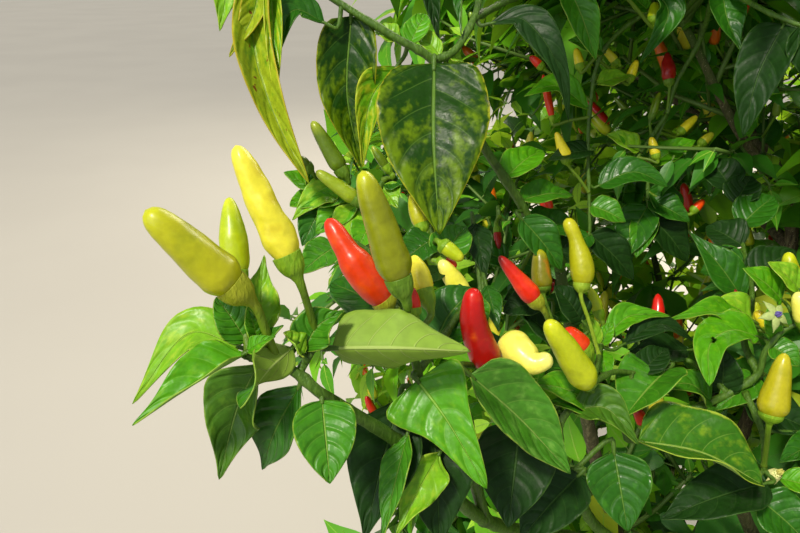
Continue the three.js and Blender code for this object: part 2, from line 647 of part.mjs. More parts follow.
/** A leafy mass grown from its bough's tip: a stem through its space, side twigs round it, leaves on them. */
function growMass(mass) {
  const random = seeded(mass.seed);
  const between = ([low, high]) => low + (high - low) * random();
  const middle = new THREE.Vector3(...mass.middle);
  const outward = middle.clone().sub(CROWN_CENTRE).normalize();
  const { radius } = tips[mass.bough];
  const twigs = [];
  let leafage = null;
  let roll = random() * Math.PI;

  const stemPoints = [...stemStart(mass.bough), middle];
  const outTo = (reach) => middle.clone().addScaledVector(outward, reach);
  for (let reach = STEM_REACH_STEP; inSpace(mass, outTo(reach + STEM_END_CLEAR)); reach += STEM_REACH_STEP) {
    stemPoints[3] = outTo(reach);
  }
  const stem = new THREE.CatmullRomCurve3(stemPoints);
  let solid = tapered(stem, radius, TWIG_TIP_RADIUS, TWIG_SIDES, STEM_STEPS);
  twigs.push({ curve: stem, piece: solid });
  const free = (piece, own) =>
    piece.intersect(keptClear).isEmpty() &&
    (!leafage || piece.intersect(leafage).isEmpty()) &&
    twigs.every((twig) => twig.curve === own || piece.intersect(twig.piece).isEmpty());

  const addLeaf = (curve, at) => {
    const hold = curve.getPoint(at);
    const heading = curve.getTangent(at);
    for (let attempt = 0; attempt < TRIES; attempt += 1) {
      roll += GOLDEN_ANGLE;
      const spread = turned(heading, between(LEAF_ANGLE), roll);
      spread.z -= LEAF_SAG;
      spread.normalize();
      const length = between(LEAF_LENGTH) * (1 - (LEAF_SHRINKS * attempt) / TRIES);
      const foot = hold.clone().addScaledVector(spread, -LEAF_SUNK);
      const tip = foot.clone().addScaledVector(spread, length);
      const upper = UP.clone().addScaledVector(tip.clone().sub(CROWN_CENTRE).normalize(), LEAF_FACES_OUT);
      const leaf = { foot, tip, upper, width: length * LEAF_WIDTH_SHARE };
      if (!leafCorners(leaf).every((corner) => inSpace(mass, corner))) continue;
      const piece = leafSolid(leaf);
      if (!free(piece, curve)) continue;
      leafage = leafage ? leafage.add(piece) : piece;
      solid = solid.add(piece);
      return;
    }
  };
  const addFruit = (curve, at) => {
    const hold = curve.getPoint(at);
    const erect = curve.getTangent(at).addScaledVector(UP, FRUIT_ERECTNESS).normalize();
    for (let attempt = 0; attempt < TRIES; attempt += 1) {
      const lean = turned(erect, FRUIT_LEAN, random() * 2 * Math.PI);
      const calyx = hold.clone().addScaledVector(lean, STALK_LENGTH);
      const tip = calyx.clone().addScaledVector(erect, between(FRUIT_LENGTH));
      if (!inSpace(mass, tip)) continue;
      const piece = fruitSolid({ hold, calyx, tip, radius: FRUIT_RADIUS });
      if (!free(piece, curve)) continue;
      leafage = leafage ? leafage.add(piece) : piece;
      solid = solid.add(piece);
      return;
    }
  };
  for (let side = 0; side < SIDE_TWIGS; side += 1) {
    const at = THREE.MathUtils.lerp(SIDE_TWIGS_FROM, SIDE_TWIGS_TO, side / (SIDE_TWIGS - 1));
    const hold = stem.getPoint(at);
    for (let attempt = 0; attempt < TRIES; attempt += 1) {
      roll += GOLDEN_ANGLE;
      const heading = turned(stem.getTangent(at), between(SIDE_TWIG_ANGLE), roll);
      const length = between(SIDE_TWIG_LENGTH) * (1 - (SIDE_TWIG_SHRINKS * attempt) / TRIES);
      const bend = hold.clone().addScaledVector(heading, length / 2);
      const onward = heading.clone().addScaledVector(UP, SIDE_TWIG_RISE).normalize();
      const tip = bend.clone().addScaledVector(onward, length / 2);
      if (!inSpace(mass, tip) || !inSpace(mass, bend)) continue;
      const curve = new THREE.QuadraticBezierCurve3(hold, bend, tip);
      const piece = tapered(curve, SIDE_TWIG_RADIUS, TWIG_TIP_RADIUS, TWIG_SIDES, 1, true);
      if (!free(piece, stem)) continue;
      solid = solid.add(piece);
      twigs.push({ curve, piece });
      break;
    }
  }
  const sideTwigs = twigs.slice(1);
  for (const twig of [sideTwigs[0], sideTwigs.at(-1)]) addFruit(twig.curve, FRUIT_ON_SIDE_TWIG);
  for (const at of LEAVES_ON_STEM) addLeaf(stem, at);
  for (const at of LEAVES_ON_SIDE_TWIG) {
    for (const twig of sideTwigs) addLeaf(twig.curve, at);
  }
  return solid;
}

const plant = new THREE.Group();
plant.add(meshOf('trunk', limbs.trunk, BARK));
for (const bough of BOUGHS) {
  plant.add(meshOf(bough.name, limbs[bough.name], bough.tip > 2 ? BARK : GREEN_STEM));
}
for (const spray of SPRAYS) plant.add(meshOf(spray.name, sprays[spray.name], FOLIAGE));
for (const mass of MASSES) plant.add(meshOf(mass.name, growMass(mass), FOLIAGE));

export default plant;
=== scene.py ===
"""A fruiting chilli pepper bush: bark, green stems, leaves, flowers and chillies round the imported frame."""

import json
import logging
import math
import random
from collections.abc import Callable, Sequence
from dataclasses import dataclass, field
from enum import Enum
from functools import cache, cached_property

import bmesh
import bpy
from mathutils import Matrix, Vector, noise

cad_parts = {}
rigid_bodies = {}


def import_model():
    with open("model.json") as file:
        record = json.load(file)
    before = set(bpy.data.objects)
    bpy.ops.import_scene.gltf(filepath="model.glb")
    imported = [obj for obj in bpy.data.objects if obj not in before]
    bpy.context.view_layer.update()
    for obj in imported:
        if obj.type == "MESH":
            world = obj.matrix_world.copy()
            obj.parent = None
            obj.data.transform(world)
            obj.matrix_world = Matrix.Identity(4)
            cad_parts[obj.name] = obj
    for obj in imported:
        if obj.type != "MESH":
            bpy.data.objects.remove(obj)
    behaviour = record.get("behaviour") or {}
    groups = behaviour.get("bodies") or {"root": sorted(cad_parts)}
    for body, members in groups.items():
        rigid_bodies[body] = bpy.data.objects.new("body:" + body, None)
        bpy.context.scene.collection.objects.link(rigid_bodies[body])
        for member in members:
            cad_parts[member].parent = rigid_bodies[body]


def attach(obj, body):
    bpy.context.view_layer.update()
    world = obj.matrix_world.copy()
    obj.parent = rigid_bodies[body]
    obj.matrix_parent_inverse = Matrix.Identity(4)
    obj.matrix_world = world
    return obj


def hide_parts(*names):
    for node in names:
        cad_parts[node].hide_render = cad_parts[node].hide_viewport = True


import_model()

LOG = logging.getLogger("chilli_bush")
MM = 0.001
UP = Vector((0, 0, 1))
RIGHT = Vector((1, 0, 0))
GOLDEN_ANGLE = math.radians(137.5)
WAX_IOR = 1.45

# What the finishes' nodes are set to. A Mix node of colours takes its share at input 0 and its two colours at
# inputs 6 and 7.
TIMES = {"operation": "MULTIPLY"}
TIMES_PLUS = {"operation": "MULTIPLY_ADD"}
LARGER = {"operation": "MAXIMUM"}
EASED = {"interpolation_type": "SMOOTHSTEP"}
COLOURS = {"data_type": "RGBA"}
COLOUR_OUT = 2

# A leaf's side veins lean towards its tip and curve, and those of one half stand between those of the other.
VEIN_LEAN = 0.24
VEIN_CURVE = 1.4
VEIN_STAGGER = 0.42

Pixel = tuple[float, float, float]
Place = Callable[[float, float], Vector]


@dataclass(frozen=True)
class Viewpoint:
    """The photograph's eye: a point in mm, a tilt below the horizon and a focal length in pixels."""

    eye: tuple[float, float, float] = (-250, -500, 800)
    tilt: float = math.radians(23)
    focal_px: float = 700
    width_px: float = 800
    height_px: float = 533

    @property
    def ahead(self) -> Vector:
        """The direction that the eye looks in."""
        return Vector((0, math.cos(self.tilt), -math.sin(self.tilt)))

    @property
    def upward(self) -> Vector:
        """The direction that is up in the picture."""
        return Vector((0, math.sin(self.tilt), math.cos(self.tilt)))

    @property
    def place(self) -> Vector:
        """Where the eye stands, in metres."""
        return Vector(self.eye) * MM

    def seen(self, pixel: Pixel) -> Vector:
        """Finds the point at a pixel.

        Args:
            pixel: Column, row and depth in mm.

        Returns:
            The point in metres.
        """
        column, row, depth = pixel
        return self.place + MM * depth * (
            self.ahead
            + RIGHT * (column - self.width_px / 2) / self.focal_px
            + self.upward * (self.height_px / 2 - row) / self.focal_px
        )

    def sight(self, point: Vector) -> Pixel:
        """Finds where the eye sees a point.

        Args:
            point: A point in metres.

        Returns:
            Column, row and depth in mm.
        """
        away = point - self.place
        depth = away.dot(self.ahead)
        column = self.width_px / 2 + self.focal_px * away.dot(RIGHT) / depth
        return column, self.height_px / 2 - self.focal_px * away.dot(self.upward) / depth, depth / MM

    def add_camera(self) -> None:
        """Stands the scene's camera at the eye."""
        sensor_mm = 36
        data = bpy.data.cameras.new("camera")
        data.sensor_width = sensor_mm
        data.lens = sensor_mm * self.focal_px / self.width_px
        data.clip_start = 0.01
        camera = bpy.data.objects.new("camera", data)
        camera.location = self.place
        camera.rotation_euler = (math.pi / 2 - self.tilt, 0, 0)
        bpy.context.scene.collection.objects.link(camera)
        bpy.context.scene.camera = camera


VIEW = Viewpoint()


def linear(colour: str) -> tuple[float, float, float, float]:
    """Turns an sRGB hex colour to linear.

    Args:
        colour: Six hex digits after a hash.

    Returns:
        Red, green, blue and 1.
    """
    parts = [int(colour[i : i + 2], 16) / 255 for i in (1, 3, 5)]
    return (*(c / 12.92 if c <= 0.04045 else ((c + 0.055) / 1.055) ** 2.4 for c in parts), 1.0)


def lerp(a: float, b: float, share: float) -> float:
    """Goes a share of the way from one number to another."""
    return a + (b - a) * share


def read_table(table: Sequence[tuple[float, float]], at: float) -> float:
    """Reads a table of pairs with even steps between its rows.

    Args:
        table: Rows of position and value, positions rising.
        at: The position to read.

    Returns:
        The value there.
    """
    for (x0, y0), (x1, y1) in zip(table, table[1:]):
        if at <= x1:
            share = min(max((at - x0) / (x1 - x0), 0), 1)
            return lerp(y0, y1, share)
    return table[-1][1]


class Line:
    """A smooth line through points, centripetal as the solids' own lines are."""

    def __init__(self, points: Sequence[Vector]) -> None:
        """Keeps the points, in metres."""
        self.points = [Vector(p) for p in points]

    def at(self, share: float) -> Vector:
        """Finds the point at a share of the line.

        Args:
            share: From 0 at the foot to 1 at the tip.

        Returns:
            The point.
        """
        last = len(self.points) - 1
        spot = min(max(share, 0), 1) * last
        i = min(int(spot), last - 1)
        t = spot - i
        p1, p2 = self.points[i], self.points[i + 1]
        p0 = self.points[i - 1] if i > 0 else p1 * 2 - p2
        p3 = self.points[i + 2] if i + 2 <= last else p2 * 2 - p1
        d0, d1, d2 = (max((b - a).length / MM, 1e-6) ** 0.5 for a, b in ((p0, p1), (p1, p2), (p2, p3)))
        out = ((p1 - p0) / d0 - (p2 - p0) / (d0 + d1) + (p2 - p1) / d1) * d1
        back = ((p2 - p1) / d1 - (p3 - p1) / (d1 + d2) + (p3 - p2) / d2) * d1
        return (
            p1
            + out * t
            + (p2 * 3 - p1 * 3 - out * 2 - back) * t**2
            + (p1 * 2 - p2 * 2 + out + back) * t**3
        )

    def heading(self, share: float) -> Vector:
        """Finds the direction of the line at a share of it."""
        step = 0.002
        return (self.at(share + step) - self.at(share - step)).normalized()

    def spots(self, steps: int) -> list[Vector]:
        """Gives points at even shares of the line."""
        return [self.at(i / steps) for i in range(steps + 1)]

    def length(self) -> float:
        """Measures the line in metres."""
        spots = self.spots(40)
        return sum((b - a).length for a, b in zip(spots, spots[1:]))

    def spans(self, steps: int = 60) -> list[tuple[float, float]]:
        """Measures the way that is left from each share of the line to its end.

        Args:
            steps: How many parts the line is measured in.

        Returns:
            Pairs of share and mm, from the foot on.
        """
        spots = self.spots(steps)
        left = [0.0]
        for a, b in zip(reversed(spots[:-1]), reversed(spots[1:])):
            left.append(left[-1] + (b - a).length / MM)
        return [(i / steps, left[steps - i]) for i in range(steps + 1)]

    def nearest(self, place: Vector) -> float:
        """Finds the share at which the line comes nearest to a place."""
        steps = 60
        return min((i / steps for i in range(steps + 1)), key=lambda s: (self.at(s) - place).length)

    def frames(self, rows: int, level: bool = False) -> list[tuple[Vector, Vector, Vector]]:
        """Lays sections along the line that don't spin about it.

        Args:
            rows: How many steps there are from foot to tip.
            level: Whether every section lies flat.

        Returns:
            The centre of each section and its two directions.
        """
        made = []
        reference = UP.cross(self.heading(0.5))
        reference = reference if reference.length > 0.2 else RIGHT
        for row in range(rows + 1):
            along = UP if level else self.heading(row / rows)
            across = (reference - along * reference.dot(along)).normalized()
            reference = across
            made.append((self.at(row / rows), across, along.cross(across)))
        return made


def turned(heading: Vector, angle: float, roll: float) -> Vector:
    """Turns a heading away by an angle, round it by a roll.

    Args:
        heading: A unit direction.
        angle: How far it turns away.
        roll: Round which way.

    Returns:
        The new unit direction.
    """
    side = heading.cross(UP if abs(heading.z) < 0.9 else RIGHT).normalized()
    side.rotate(Matrix.Rotation(roll, 3, heading))
    away = heading.copy()
    away.rotate(Matrix.Rotation(angle, 3, side))
    return away


def add_node(
    tree: bpy.types.NodeTree, kind: str, inputs: dict | Sequence = (), settings: dict | None = None
) -> bpy.types.Node:
    """Adds one node with its settings and links.

    Args:
        tree: The node tree.
        kind: The node's type, without the ShaderNode that all start with.
        inputs: Values, hex colours or other nodes' outputs, in order or by the input's name or number.
        settings: Properties by name.

    Returns:
        The node.
    """
    node = tree.nodes.new(f"ShaderNode{kind}")
    for name, value in (settings or {}).items():
        setattr(node, name, value)
    for name, value in inputs.items() if isinstance(inputs, dict) else enumerate(inputs):
        if isinstance(value, bpy.types.NodeSocket):
            tree.links.new(value, node.inputs[name])
        else:
            node.inputs[name].default_value = linear(value) if isinstance(value, str) else value
    return node


def per_mm(size: float) -> float:
    """Gives the scale at which a pattern's patches are about as large as a size in mm on the object."""
    return 1 / (size * MM)


class Palette:
    """One material and its node tree."""

    def __init__(self, name: str) -> None:
        """Starts an empty material.

        Args:
            name: Its name.
        """
        self.material = bpy.data.materials.new(name)
        self.material.use_nodes = True
        self.tree = self.material.node_tree
        self.tree.nodes.clear()

    @cached_property
    def place(self) -> bpy.types.NodeSocket:
        """The place on the object, which the patterns read."""
        return self.add("TexCoord", output="Object")

    def add(
        self, kind: str, inputs: dict | Sequence = (), settings: dict | None = None, output: int | str = 0
    ) -> bpy.types.NodeSocket:
        """Adds a node to this material and gives one of its outputs."""
        return add_node(self.tree, kind, inputs, settings).outputs[output]

    def surface(
        self, shine: dict, height: object = None, height_mm: float = 0, through: float = 0, glow: object = None
    ) -> bpy.types.Material:
        """Ends the material in one shader.

        Args:
            shine: The Principled shader's inputs.
            height: What raises the surface.
            height_mm: How far it is raised.
            through: The share of light that comes through, as in a leaf.
            glow: The colour of that light.

        Returns:
            The material.
        """
        if height is not None:
            shine["Normal"] = self.add("Bump", {"Height": height, "Distance": height_mm * MM})
        shader = self.add("BsdfPrincipled", shine)
        if through:
            shader = self.add("MixShader", (through, shader, self.add("BsdfTranslucent", {"Color": glow})))
        add_node(self.tree, "OutputMaterial", {"Surface": shader})
        return self.material


@dataclass(frozen=True)
class LeafFinish:
    """A living chilli leaf: a waxy upper side with sunken veins, and a paler matt underside."""

    name: str
    body: str
    patch: str
    patches: float = 0.3
    vein: str = "#8fae4a"
    rim: str = "#8ea63a"
    rim_width: float = 0.03
    under: str = "#86a64a"
    spots: float = 0
    roughness: float = 0.36
    veins: int = 6
    aged: float = 0
    sheen: float = 0.3
    vein_share: float = 0.62
    through: float = 0.22
    spot: str = "#6b3d16"
    under_vein: str = "#bccd78"

    def blade_lines(self, p: Palette) -> tuple:
        """Works out how far a place on the blade lies from its midrib, its side veins and its foot.

        Args:
            p: The material that reads it.

        Returns:
            Shares of the half width and of the length, the distance from the nearest side vein, and a place
            that follows the fields between the side veins.
        """
        uv = add_node(p.tree, "SeparateXYZ", [p.add("UVMap", settings={"uv_map": "blade"})]).outputs
        side = p.add("Math", (uv[0], 0.5), {"operation": "GREATER_THAN"})
        across = p.add("Math", [p.add("Math", (uv[0], 2, -1), TIMES_PLUS)], {"operation": "ABSOLUTE"})
        curve = p.add("Math", (across, VEIN_CURVE), {"operation": "POWER"})
        lean = p.add("Math", (curve, -VEIN_LEAN, uv[1]), TIMES_PLUS)
        row = p.add("Math", (side, VEIN_STAGGER, p.add("Math", (lean, self.veins), TIMES)), TIMES_PLUS)
        spreads_mm = ((across, 15), (row, 6.5), (side, 90))
        fields = p.add("CombineXYZ", [p.add("Math", (value, mm * MM), TIMES) for value, mm in spreads_mm])
        return across, uv[1], p.add("Math", (row, 0.5), {"operation": "PINGPONG"}), fields

    @cache
    def upper(self) -> bpy.types.Material:
        """The upper side: wax gives it a broad sheen, and it is quilted between its veins.

        Returns:
            The material.
        """
        p = Palette(self.name)
        across, along, off_vein, fields = self.blade_lines(p)
        edge_grain, fleck, shade, bump, gloss = (
            p.add("TexNoise", {"Vector": p.place, "Scale": per_mm(size), "Detail": 2})
            for size in (3, 2.2, 2.6, 3.4, 5)
        )
        field_grain = p.add("TexNoise", {"Vector": fields, "Scale": per_mm(5), "Detail": 3})
        midrib = p.add("MapRange", (across, 0.012, 0.045, 1, 0), EASED)
        thin = p.add("MapRange", (across, 0.55, 0.95, 0.42, 0), EASED)
        side_vein = p.add("Math", (p.add("MapRange", (off_vein, 0, 0.035, 1, 0), EASED), thin), TIMES)
        where = p.add("Math", (across, 0.5, p.add("Math", (along, 0.9, -0.55), TIMES_PLUS)), TIMES_PLUS)
        mottle = p.add("Math", (fleck, 0.3, p.add("Math", (field_grain, 0.7), TIMES)), TIMES_PLUS)
        reach = p.add("Math", (where, 0.3 * self.aged, mottle), TIMES_PLUS)
        patch = p.add("MapRange", (reach, 0.62 - 0.3 * self.patches, 0.84 - 0.3 * self.patches), EASED)
        patch = p.add("Math", (patch, p.add("MapRange", (off_vein, 0, 0.22, 0.35, 1), EASED)), TIMES)
        share = p.add("Math", (patch, min(0.9, 0.3 + self.patches)), TIMES)
        colour = p.add("Mix", {0: share, 6: self.body, 7: self.patch}, COLOURS, COLOUR_OUT)
        tone = p.add("MapRange", (shade, 0.3, 0.7, 0.88, 1.1), EASED)
        colour = p.add("HueSaturation", {"Value": tone, "Color": colour})
        vein = p.add("Math", (p.add("Math", (midrib, side_vein), LARGER), self.vein_share), TIMES)
        ragged = p.add("Math", (edge_grain, 0.12, across), TIMES_PLUS)
        edge = p.add("MapRange", (ragged, 1.05 - self.rim_width, 1.1 - self.rim_width), EASED)
        layers = [(vein, self.vein), (p.add("Math", (edge, 0.8), TIMES), self.rim)]
        if self.spots:
            rot = p.add("TexNoise", {"Vector": p.place, "Scale": per_mm(4.5), "Detail": 2})
            rot = p.add("MapRange", (rot, 0.72 - 0.1 * self.spots, 0.76 - 0.1 * self.spots), EASED)
            layers.append((rot, self.spot))
        for share, layer in layers:
            colour = p.add("Mix", {0: share, 6: colour, 7: layer}, COLOURS, COLOUR_OUT)
        quilt = p.add("MapRange", (off_vein, 0, 0.3), EASED)
        quilt = p.add("Math", (quilt, 0.4, p.add("Math", (midrib, -0.5), TIMES)), TIMES_PLUS)
        quilt = p.add("Math", (bump, 0.55, quilt), TIMES_PLUS)
        rough = p.add("MapRange", (gloss, 0.3, 0.7, self.roughness - 0.05, self.roughness + 0.08), EASED)
        shine = {"Base Color": colour, "Roughness": rough, "IOR": WAX_IOR, "Specular IOR Level": self.sheen}
        glow = p.add("HueSaturation", {"Value": 1.7, "Saturation": 1.1, "Color": colour})
        return p.surface(shine, quilt, 0.6, self.through, glow)

    @cache
    def lower(self) -> bpy.types.Material:
        """The underside: no wax, so it is pale and matt, with raised veins.

        Returns:
            The material.
        """
        p = Palette(f"{self.name}_under")
        across, _, off_vein, _ = self.blade_lines(p)
        thin = p.add("MapRange", (across, 0.7, 1, 0.6, 0), EASED)
        side_vein = p.add("Math", (p.add("MapRange", (off_vein, 0, 0.06, 1, 0), EASED), thin), TIMES)
        vein = p.add("Math", (p.add("MapRange", (across, 0.02, 0.07, 1, 0), EASED), side_vein), LARGER)
        shade = p.add("TexNoise", {"Vector": p.place, "Scale": per_mm(4), "Detail": 3})
        tone = p.add("MapRange", (shade, 0.3, 0.7, 0.9, 1.1), EASED)
        base = p.add("HueSaturation", {"Value": tone, "Color": self.under})
        share = p.add("Math", (vein, 0.55), TIMES)
        colour = p.add("Mix", {0: share, 6: base, 7: self.under_vein}, COLOURS, COLOUR_OUT)
        glow = p.add("HueSaturation", {"Value": 1.5, "Color": colour})
        return p.surface({"Base Color": colour, "Roughness": 0.62, "IOR": 1.4}, vein, 0.3, self.through, glow)


@dataclass(frozen=True)
class FruitFinish:
    """The skin of a chilli: thin glossy wax over flesh that ripens in patches."""

    name: str
    body: str
    second: str
    tip: str
    patches: float = 0.4
    patch_mm: float = 6
    tip_from: float = 0.75
    roughness: float = 0.33

    @cache
    def skin(self) -> bpy.types.Material:
        """The skin: patches of the next ripeness, a gloss that shallow dents break up.

        Returns:
            The material.
        """
        p = Palette(self.name)
        patch, dent, at_tip, shade, gloss = (
            p.add("TexNoise", {"Vector": p.place, "Scale": per_mm(size), "Detail": detail})
            for size, detail in ((self.patch_mm, 3), (3.2, 1), (3, 2), (1.6, 2), (2.5, 2))
        )
        uv = add_node(p.tree, "SeparateXYZ", [p.add("UVMap", settings={"uv_map": "skin"})]).outputs
        patch = p.add("MapRange", (patch, 0.62 - 0.3 * self.patches, 0.85 - 0.3 * self.patches), EASED)
        tip = p.add("Math", (at_tip, 0.15, uv[1]), TIMES_PLUS)
        tip = p.add("MapRange", (tip, self.tip_from, 1.1), EASED)
        colour = self.body
        for share, layer in ((patch, self.second), (tip, self.tip)):
            colour = p.add("Mix", {0: share, 6: colour, 7: layer}, COLOURS, COLOUR_OUT)
        tone = p.add("MapRange", (shade, 0.3, 0.7, 0.94, 1.05), EASED)
        rough = p.add("MapRange", (gloss, 0.3, 0.7, self.roughness - 0.04, self.roughness + 0.08), EASED)
        shine = {
            "Base Color": p.add("HueSaturation", {"Value": tone, "Color": colour}),
            "Roughness": rough,
            "IOR": WAX_IOR,
            "Specular IOR Level": 0.36,
            "Coat Weight": 0.12,
            "Coat Roughness": 0.2,
            "Subsurface Weight": 0.12,
            "Subsurface Radius": (0.004, 0.003, 0.001),
            "Subsurface Scale": 0.5,
        }
        return p.surface(shine, dent, 0.25)


@dataclass(frozen=True)
class StemFinish:
    """A living green stem: smooth skin with fine pale lengthwise lines and corky flecks."""

    name: str = "green_stem_skin"
    # These colours are darker than the stem's own green: partly painted shade.
    body: str = "#37560f"
    light: str = "#527223"
    dark: str = "#22370c"
    foot: str = ""

    @cache
    def skin(self) -> bpy.types.Material:
        """The skin: it shines softly, and the flecks are the pores of young bark.

        Returns:
            The material.
        """
        p = Palette(self.name)
        streaks = p.add("Mapping", {0: p.place, "Scale": (1, 1, 0.25)})
        line, fleck = (
            p.add("TexNoise", {"Vector": place, "Scale": per_mm(size), "Detail": 3})
            for place, size in ((streaks, 1), (p.place, 6))
        )
        line = p.add("MapRange", (line, 0.4, 0.65), EASED)
        layers = [
            (p.add("Math", (line, 0.55), TIMES), self.light),
            (p.add("MapRange", (fleck, 0.52, 0.75, 0, 0.7), EASED), self.dark),
        ]
        if self.foot:
            uv = add_node(p.tree, "SeparateXYZ", [p.add("UVMap", settings={"uv_map": "skin"})]).outputs
            layers.append((p.add("MapRange", (uv[1], 0.35, 0.7, 0.9, 0), EASED), self.foot))
        colour = self.body
        for share, layer in layers:
            colour = p.add("Mix", {0: share, 6: colour, 7: layer}, COLOURS, COLOUR_OUT)
        shine = {"Base Color": colour, "Roughness": 0.5, "IOR": WAX_IOR, "Specular IOR Level": 0.35}
        return p.surface(shine, line, 0.12)


@dataclass(frozen=True)
class BarkFinish:
    """Young woody bark: thin grey-brown cork that splits lengthwise over green."""

    name: str = "woody_bark"
    # These colours are darker than the cork's own grey-brown: partly painted shade of the crown over the
    # boughs.
    body: str = "#463b27"
    ridge: str = "#6c6145"
    crack: str = "#221b11"
    green: str = "#414a20"
    young: str = "#3a5216"
    pore: str = "#b9ae90"
    young_from: float = 2

    @cache
    def skin(self) -> bpy.types.Material:
        """The cork: dry and rough, with dark splits, and green where it is thin towards a bough's tip.

        Returns:
            The material.
        """
        p = Palette(self.name)
        lengthwise = p.add("Mapping", {0: p.place, "Scale": (1, 1, 0.18)})
        split, moss, border, pore = (
            p.add("TexNoise", {"Vector": place, "Scale": per_mm(size), "Detail": detail})
            for place, size, detail in (
                (lengthwise, 1.6, 5), (p.place, 24, 3), (p.place, 14, 3), (p.place, 0.9, 2),
            )
        )
        uv = add_node(p.tree, "SeparateXYZ", [p.add("UVMap", settings={"uv_map": "skin"})]).outputs
        up = p.add("Math", (border, 0.3, uv[1]), TIMES_PLUS)
        pore = p.add("MapRange", (pore, 0.66, 0.72, 0, 0.7), EASED)
        colour = self.body
        for share, layer in (
            (p.add("MapRange", (split, 0.45, 0.68), EASED), self.ridge),
            (p.add("MapRange", (split, 0.28, 0.42, 1, 0), EASED), self.crack),
            (p.add("MapRange", (moss, 0.5, 0.7, 0, 0.6), EASED), self.green),
            (p.add("MapRange", (up, self.young_from, self.young_from + 0.35, 0, 0.9), EASED), self.young),
            (pore, self.pore),
        ):
            colour = p.add("Mix", {0: share, 6: colour, 7: layer}, COLOURS, COLOUR_OUT)
        height = p.add("Math", (pore, 0.3, split), TIMES_PLUS)
        return p.surface({"Base Color": colour, "Roughness": 0.82, "IOR": WAX_IOR}, height, 0.8)


@dataclass(frozen=True)
class PlainFinish:
    """A joined piece's plain colour: from a step away each leaf or fruit of it reads as one tone."""

    name: str
    body: str
    roughness: float = 0.4
    through: float = 0.2
    coat: float = 0
    glow: str = ""

    @cache
    def made(self) -> bpy.types.Material:
        """Makes the material.

        Returns:
            The material.
        """
        p = Palette(self.name)
        shine = {"Base Color": self.body, "Roughness": self.roughness, "IOR": WAX_IOR}
        shine["Specular IOR Level"] = 0.3
        if self.coat:
            shine |= {"Specular IOR Level": 0.5, "Coat Weight": self.coat, "Coat Roughness": 0.15}
        return p.surface(shine, through=self.through, glow=self.glow or self.body)


@dataclass(frozen=True)
class PetalFinish:
    """Thin petal or anther skin: soft, almost without gloss, faintly veined."""

    name: str
    body: str

    @cache
    def made(self) -> bpy.types.Material:
        """Makes the material.

        Returns:
            The material.
        """
        p = Palette(self.name)
        vein = p.add("TexNoise", {"Vector": p.place, "Scale": per_mm(1.2), "Detail": 2})
        tone = p.add("MapRange", (vein, 0.3, 0.7, 0.88, 1.08), EASED)
        colour = p.add("HueSaturation", {"Value": tone, "Color": self.body})
        return p.surface({"Base Color": colour, "Roughness": 0.6, "IOR": 1.4}, vein, 0.1, 0.25, colour)


class Ripeness(Enum):
    """How ripe a chilli is, as its skin's finish; SHADED carries painted shade and STREAKED's tip painted
    light.
    """

    PALE = FruitFinish("chilli_pale_yellow", "#c9c22e", "#bdb024", "#d3cc3e", 0.4, 6)
    LIME = FruitFinish("chilli_yellow_green", "#a6b112", "#949f0a", "#b9c01e", 0.36, 8)
    MUTED = FruitFinish("chilli_muted_yellow_green", "#9b9c0b", "#8a8f06", "#a9ad12", 0.4, 8)
    OLIVE = FruitFinish("chilli_olive", "#6f7605", "#7d8506", "#a4aa12", 0.4, 8)
    # SHADED is a darker olive yellow for pods that stand in shadow: its colours carry painted shade.
    SHADED = FruitFinish("chilli_olive_yellow", "#9a9c0e", "#8a8f0a", "#adab1a", 0.4, 8)
    GREEN_YELLOW = FruitFinish("chilli_bright_green", "#9cae10", "#8fa50e", "#b5bf26", 0.4, 7)
    GOLD = FruitFinish("chilli_yellow", "#cfc122", "#bcb41a", "#d8c026", 0.4, 6)
    RIPE_GOLD = FruitFinish("chilli_ripe_yellow", "#9c9612", "#918f0e", "#aca51c", 0.4, 6)
    BUTTER = FruitFinish("chilli_butter_yellow", "#dcd658", "#cdcb3c", "#e2de74", 0.4, 6)
    BLUSH = FruitFinish("chilli_turning_orange", "#6c6a07", "#9c640b", "#969916", 0.34, 5)
    SCARLET = FruitFinish("chilli_orange_red", "#c63304", "#d2480a", "#cc2a06", 0.35, 7)
    # STREAKED's tip colour is lighter than its dark body: painted light on the pod's upper end, and the dark
    # body is partly painted shade; its orange streaks are its own.
    STREAKED = FruitFinish("chilli_red_streaked", "#980b06", "#c4500f", "#b8120c", 0.32, 7, 0.6)
    RED = FruitFinish("chilli_red", "#c92409", "#d8420f", "#96100e", 0.35, 6, 0.55)
    MAROON = FruitFinish("chilli_dark_red", "#8f100c", "#a31a0e", "#6f0d0a", 0.35, 5)
    UNRIPE = FruitFinish("chilli_green", "#4f680a", "#5f7a12", "#8c9a22", 0.4, 6)
    GREEN = FruitFinish("chilli_light_green", "#7b9012", "#8a9c1a", "#8f9f20", 0.4, 6)


